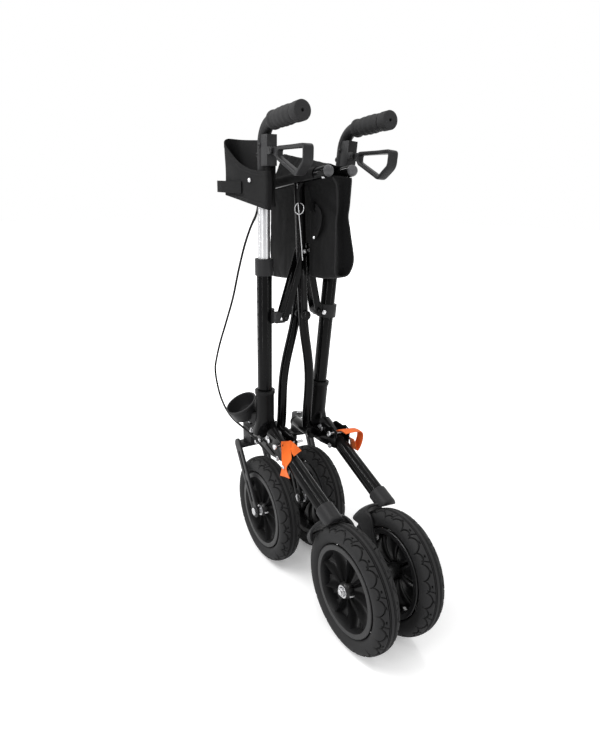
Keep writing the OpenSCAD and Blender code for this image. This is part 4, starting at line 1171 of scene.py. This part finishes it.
def bag_section(y):
    """One section across the bag: from the left rail down a panel, under it and up to the right rail."""
    left, right = rail_height(LEFT_RAIL, y), rail_height(RIGHT_RAIL, y)
    fall = BAG_FALL * (y - BAG_HALVES[0][1])
    hung = [(x, z - fall * min(1.0, (0.86 - z) / 0.12)) for x, z in BAG_HUNG]
    top = [(LEFT_RAIL.x + 0.0095, left - 0.0085), (0.028, left - 0.02), (0.034, left - 0.042)]
    return top + hung + [(0.0672, right - 0.026), (RIGHT_RAIL.x, right - 0.0125)]


def wrinkled(point, seed, amount):
    """Moves a point of cloth by slow folds and small creases."""
    slow = noise.noise(Vector((point.x * 22 + seed, point.y * 13, point.z * 9)))
    crease = 1 - abs(noise.noise(Vector((point.x * 30, point.y * 34 + seed, point.z * 21 + seed))))
    return amount * (0.8 * slow + 0.7 * crease ** 3 - 0.25)


def bag_gusset(row, inward):
    """The folded cloth that closes one end of a bag half, dented towards its middle."""
    rings = []
    for k in range(BAG_STEPS // 2):
        ring = []
        for share in evenly(0, 1, GUSSET_STEPS):
            middle = row[k].lerp(row[BAG_STEPS - k], share)
            fold = hump(share)
            dent = GUSSET_DEPTH * fold ** 1.4 * hump(k / BAG_STEPS) ** 0.5
            dent += 0.6 * fold * wrinkled(middle, 7.0, CREASE)
            ring.append(middle + Vector((0, inward * dent, 0)))
        rings.append(ring)
    gusset = bmesh.new()
    cloth_grid(gusset, rings)
    thicken(gusset, CLOTH)
    return gusset


def make_bag_half(name, rear, front, nodes):
    """One hanging half of the bag, closed at both ends by folded gussets; returns its two end sections."""
    rows = []
    for share in evenly(0, 1, 22):
        y = rear + (front - rear) * share
        line = smooth_curve([(x, y, z) for x, z in bag_section(y)], BAG_STEPS)
        belly = hump(share)
        for k, point in enumerate(line):
            hang = hump(k / BAG_STEPS)
            point.x += hang * belly * (0.003 if k > BAG_STEPS * 0.55 else -0.001)
            point.x += wrinkled(point, 3.0 + rear, CREASE) * min(1.0, 4 * hang)
            point.z -= 0.003 * belly * hang ** 4
        rows.append(line)
    bm = bmesh.new()
    cloth_grid(bm, rows)
    thicken(bm, CLOTH)
    absorb(bm, bag_gusset(rows[0], 1))
    absorb(bm, bag_gusset(rows[-1], -1))
    finish_piece(name, bm, BRACES, "fabric_black", nodes=nodes, smooth=65)
    return rows[0], rows[-1]


def make_bag():
    """Bag under the folded seat: two hanging halves, the panel that joins them, and piping on their edges."""
    piping = bmesh.new()
    for half in BAG_HALVES:
        for row in make_bag_half(*half):
            tube_along(piping, row[1:-1], 0.0017, 7)
    finish_piece("bag_piping", piping, BRACES, "fabric_black", finish="thread", smooth=60)
    rows = []
    for y in evenly(BAG_HALVES[0][2] - 0.001, BAG_HALVES[1][1] + 0.001, 24):
        section = bag_section(y)[:4] + [(0.0342, 0.755)]
        line = smooth_curve([(x, y, z) for x, z in section], 30)
        for k, point in enumerate(line):
            point.x += 0.5 * wrinkled(point, 5.0, 0.002) * min(1.0, k / 8)
        rows.append(line)
    bm = bmesh.new()
    cloth_grid(bm, rows)
    thicken(bm, CLOTH)
    finish_piece("bag_side_panel", bm, BRACES, "fabric_black", smooth=65)


# Folded seat cloth: ends, rise at each end, and its crest as (across, share of the rise below the ridge)
SLING_REAR = -0.1
SLING_FRONT = 0.088
SLING_RISES = (0.018, 0.066)
SLING_STEPS = 48
SLING_COUNT = 88
SLING_CREST = ((0.0295, 0.25), (0.0345, 0.04), (0.038, 0.0), (0.0415, 0.04), (0.0465, 0.25))
SLING_CREASE = 0.0028


def sling_section(share, y):
    """One section across the seat cloth: round the left rail, up over the ridge and round the right rail."""
    left, right = rail_height(LEFT_RAIL, y), rail_height(RIGHT_RAIL, y)
    rise = SLING_RISES[0] + (SLING_RISES[1] - SLING_RISES[0]) * share
    ridge, slack, wrap = (left + right) / 2 + rise, rise - RAIL_R, RAIL_R + 0.0022
    section = arc((LEFT_RAIL.x, left), wrap, -138, -262, 8) + [(0.0205, left + RAIL_R + 0.35 * slack)]
    section += [(x, ridge - drop * slack) for x, drop in SLING_CREST]
    return section + [(0.0555, right + RAIL_R + 0.35 * slack)] + arc((RIGHT_RAIL.x, right), wrap, 82, -42, 8)


def make_sling():
    """Folded seat cloth: sewn round both rails and standing up between them in one fold, higher in front."""
    rows = []
    for share in evenly(0, 1, SLING_STEPS):
        y = SLING_REAR + (SLING_FRONT - SLING_REAR) * share
        line = smooth_curve([(x, y, z) for x, z in sling_section(share, y)], SLING_COUNT)
        for k, point in enumerate(line):
            free = hump(clamped((k / SLING_COUNT - 0.2) / 0.6))
            point.x += free * wrinkled(point, 11.0, SLING_CREASE)
            point.z += 0.4 * free * wrinkled(point, 17.0, SLING_CREASE)
        rows.append(line)
    bm = bmesh.new()
    cloth_grid(bm, rows)
    thicken(bm, CLOTH)
    seat = finish_piece("folded_seat_cloth", bm, BRACES, "fabric_black", nodes=("seat_sling",), smooth=65)


# Bag strap, loop, ring and wire, in millimetres
STRAP_OUTER = (
    (30, -62, 838), (26, -84, 832), (23, -102, 815), (23, -97, 790), (26, -80, 772), (30, -60, 764))
STRAP_INNER = (
    (30, -62, 827), (25, -76, 821), (22, -86, 810), (22, -83, 794), (25, -73, 783), (30, -60, 776))
RING_LOOP = ((0.5, 877.5), (-7.5, 866), (-8.5, 850), (-6, 837.8), (-4, 850.5), (-3.2, 866))
WIRE = ((-7.7, -53, 874.3), (-4.7, -54, 830.3), (1.8, -55, 770.3), (7.3, -54, 722.3))
RING_BAR = 0.001
RAIL_RIVET_Y = -0.126


def make_bag_fittings():
    """Strap with its clip and rivet, pull ring, rail rivets and the thin wire beside the bag."""
    body = BODY_OF["left_seat_rail"]
    bm = bmesh.new()
    ribbon(bm, metres(STRAP_OUTER), metres(STRAP_INNER), 40, slack=0.001)
    ribbon(bm, metres((x, -64, z) for x, z in RING_LOOP), metres((x, -52, z) for x, z in RING_LOOP), 30)
    thicken(bm, WEBBING)
    clip = bmesh.new()
    block(clip, (0.027, -0.057, 0.8315), (0.011, 0.016, 0.021))
    soften(clip, 0.004, segments=4)
    absorb(bm, clip)
    finish_piece("bag_strap", bm, body, "fabric_black", finish="webbing_black", smooth=60)
    under = Vector((-0.35, 0, -1)).normalized()
    for side, rail in (("left", LEFT_RAIL), ("right", RIGHT_RAIL)):
        bm = bmesh.new()
        place = Vector((rail.x, RAIL_RIVET_Y, rail_height(rail, RAIL_RIVET_Y)))
        button_head(bm, place + under * (RAIL_R - 0.0002), under, 0.0038, 0.0026)
        finish_piece(side + "_rail_rivet", bm, BODY_OF[side + "_seat_rail"], "zinc")
    bm = bmesh.new()
    spun(bm, arc((0.0112, 0), RING_BAR, 0, 324, 9), 40, axis=(0, 0, 1), closed=True)
    aimed(bm, set(), (-0.0052, -0.0585, 0.8275), (-0.9, -0.4, 0.1))
    button_head(bm, (0.0272, -0.064, 0.77), (-1, -0.2, 0), 0.0042, 0.0024)
    tube_along(bm, smooth_curve(metres(WIRE), 24), 0.0009, 6)
    finish_piece("bag_metalwork", bm, body, "zinc")


# Orange release pulls, looped over the latch rods, in millimetres
TAB_OUTER = ((20.3, -118, 350), (20.8, -118.5, 332), (21, -119, 311), (21.5, -121.5, 292), (22, -114.5, 267))
TAB_INNER = ((-8, -110, 341), (2, -126, 329.5), (10.7, -142, 315.5), (21.8, -140.5, 297), (22, -155.5, 279))
FLAP_FRONT = ((-8, -111, 342), (-15, -119, 334.5), (-24.3, -127, 322))
FLAP_REAR = ((2, -126, 330.5), (4, -134, 326.5), (2, -141, 321))
ROD_WRAP = ((-110.5, 341), (-107, 341.5), (-103.5, 339.5), (-99.5, 337), (-98.5, 332.5), (-100.5, 328.5))
RIGHT_LOOP = (
    (-4, 341.5), (12, 343), (29, 343), (42, 340), (47, 329), (45, 310), (37, 294), (30, 301), (26, 314),
    (19, 325))


def finish_pull(bm, side):
    """Adds a pull's turn round its latch rod, gives it its thickness and hangs it on the latch."""
    ribbon(bm, metres((14.5, y, z) for y, z in ROD_WRAP), metres((-8, y, z) for y, z in ROD_WRAP), 24)
    thicken(bm, WEBBING)
    name, nodes = side + "_orange_pull", (side + "_pull_tab",)
    finish_piece(name, bm, side + "_latch", "webbing_orange", side, nodes, smooth=60)


def make_tabs():
    """Left pull draped over its leg with a pinched tail, right pull as an open loop."""
    bm = bmesh.new()
    ribbon(bm, metres(TAB_OUTER), metres(TAB_INNER), 48, cross=10, slack=0.0015)
    ribbon(bm, metres(FLAP_FRONT), metres(FLAP_REAR), 16, cross=8, slack=0.001)
    finish_pull(bm, "left")
    bm = bmesh.new()
    edges = [metres((x, y, z) for x, z in RIGHT_LOOP) for y in (-134, -111)]
    ribbon(bm, *edges, 48, slack=0.001)
    finish_pull(bm, "right")
    bm = bmesh.new()
    button_head(bm, (0.0232, -0.13, 0.2945), (1, -0.1, 0), 0.0042, 0.0022)
    finish_piece("left_pull_rivet", bm, "left_latch", "zinc", "left")


# Brake cable down the left upright and along the leg, in millimetres
CABLE_ROUTE = (
    (-56, 16, 930), (-56, 16, 890), (-57, 19, 850), (-60, 26, 815), (-68, 40, 785), (-76, 55, 745),
    (-82, 75, 690), (-86, 100, 625), (-90, 135, 560), (-93, 170, 500), (-95, 193, 450), (-96, 198, 425),
    (-96, 190, 395), (-96, 168, 362), (-95, 135, 338), (-93, 100, 326), (-90, 65, 322), (-86, 30, 318),
    (-84, -5, 313), (-83, -40, 306), (-82, -75, 298))
CABLE_D = 0.005


def make_cable():
    """Brake cable as a free cord that leaves the handle and goes back into the frame at the leg."""
    line = smooth_curve(metres(CABLE_ROUTE), 160)
    data = bpy.data.curves.new("brake_cable_cord", "CURVE")
    data.dimensions = "3D"
    data.bevel_depth = CABLE_D / 2
    data.bevel_resolution = 4
    data.use_fill_caps = True
    spline = data.splines.new("POLY")
    spline.points.add(len(line) - 1)
    for knot, point in zip(spline.points, line):
        knot.co = (*point, 1)
    data.materials.append(MATERIALS["cable_black"])
    cable = add_object("brake_cable_cord", data)
    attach(cable, BODY_OF["brake_cable"])
    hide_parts("brake_cable")


# Scene
CAMERA_PLACE = Vector((-0.6104, -1.0927, 0.8694))
CAMERA_YAW = 0.5349
CAMERA_PITCH = 0.32018
CAMERA_ROLL = 0.0152
FOCAL_PIXELS = 567.52
PHOTO_HEIGHT = 750
SENSOR = 36.0
# Lights: name, place, aim, size and power
MIDDLE = (0.05, -0.1, 0.5)
SOFTBOXES = (
    ("left_strip", (-1.85, -0.95, 0.9), MIDDLE, (0.07, 1.9), 9),
    ("right_strip", (0.85, -1.9, 0.85), MIDDLE, (0.05, 1.9), 7),
    ("back_strip", (-1.35, 1.1, 1.0), MIDDLE, (0.06, 1.9), 6),
    ("left_top_strip", (-0.9, -0.5, 2.3), MIDDLE, (2.0, 0.08), 9),
    ("leg_strip", (-1.25, 0.42, 2.02), (0, -0.2, 0.28), (2.0, 0.06), 24),
    ("right_top_strip", (0.9, -0.3, 2.3), MIDDLE, (2.0, 0.06), 9))


def make_camera():
    """Camera at the photograph's angle."""
    level = math.cos(CAMERA_PITCH)
    ahead = Vector((math.sin(CAMERA_YAW) * level, math.cos(CAMERA_YAW) * level, -math.sin(CAMERA_PITCH)))
    right = Vector((math.cos(CAMERA_YAW), -math.sin(CAMERA_YAW), 0))
    up = right.cross(ahead)
    main, tip = math.cos(CAMERA_ROLL), math.sin(CAMERA_ROLL)
    columns = (main * right + tip * up, -tip * right + main * up, -ahead)
    data = bpy.data.cameras.new("camera")
    data.sensor_width = SENSOR
    data.lens = FOCAL_PIXELS * SENSOR / PHOTO_HEIGHT
    camera = add_object("camera", data)
    camera.matrix_world = Matrix.Translation(CAMERA_PLACE) @ Matrix(columns).transposed().to_4x4()
    bpy.context.scene.camera = camera


def seen_directly(tree):
    """A mask that is 1 for what the camera, a mirror or glass shows."""
    path = add_node(tree, "ShaderNodeLightPath")
    both = math_node(tree, "MAXIMUM", path.outputs["Is Camera Ray"], path.outputs["Is Glossy Ray"])
    return math_node(tree, "MAXIMUM", both, path.outputs["Is Transmission Ray"])


def make_floor():
    """Plain pale floor, round and wide, that glows towards its edge."""
    bm = bmesh.new()
    bmesh.ops.create_circle(bm, cap_ends=True, segments=96, radius=14.0)
    mesh = mesh_of("floor", bm)
    finish = Finish("pale_floor", Roughness=0.9, Specular_IOR_Level=0.0, Base_Color=(0.9, 0.9, 0.9, 1),
                    Emission_Color=(1, 1, 1, 1))
    away = fed_node(finish.tree, "ShaderNodeVectorMath", finish.coordinates, operation="LENGTH")
    far = range_node(finish.tree, away.outputs["Value"], 0.3, 1.3, 0.2, 1.0)
    finish.feed("Emission Strength", math_node(finish.tree, "MULTIPLY", far, seen_directly(finish.tree)))
    mesh.materials.append(finish.material)
    add_object("floor", mesh)


def add_softbox(name, place, aim, size, power):
    """A rectangular soft light turned to a point."""
    data = bpy.data.lights.new(name, "AREA")
    data.shape = "RECTANGLE"
    data.size, data.size_y = size
    data.energy = power
    lamp = add_object(name, data)
    lamp.location = place
    lamp.rotation_euler = (Vector(aim) - Vector(place)).to_track_quat("-Z", "Y").to_euler()


def make_light():
    """Plain soft studio light and a white surround."""
    world = bpy.data.worlds.new("white_room")
    world.use_nodes = True
    tree = world.node_tree
    surround = tree.nodes["Background"]
    surround.inputs["Color"].default_value = (1, 1, 1, 1)
    tree.links.new(range_node(tree, seen_directly(tree), to_low=0.6), surround.inputs["Strength"])
    bpy.context.scene.world = world
    for row in SOFTBOXES:
        add_softbox(*row)


make_camera()
make_cable()
make_eased_pieces()
make_wheels()
for side in SIDES:
    make_grip(side)
    make_lever(side)
    make_rear_fork(side)
    make_frame_hardware(side)
    for end in ("front", "rear"):
        make_wheel_hardware(side, end)
make_cup()
make_pouch()
make_bag()
make_sling()
make_bag_fittings()
make_tabs()
make_floor()
make_light()
bpy.context.scene.view_settings.view_transform = "Standard"
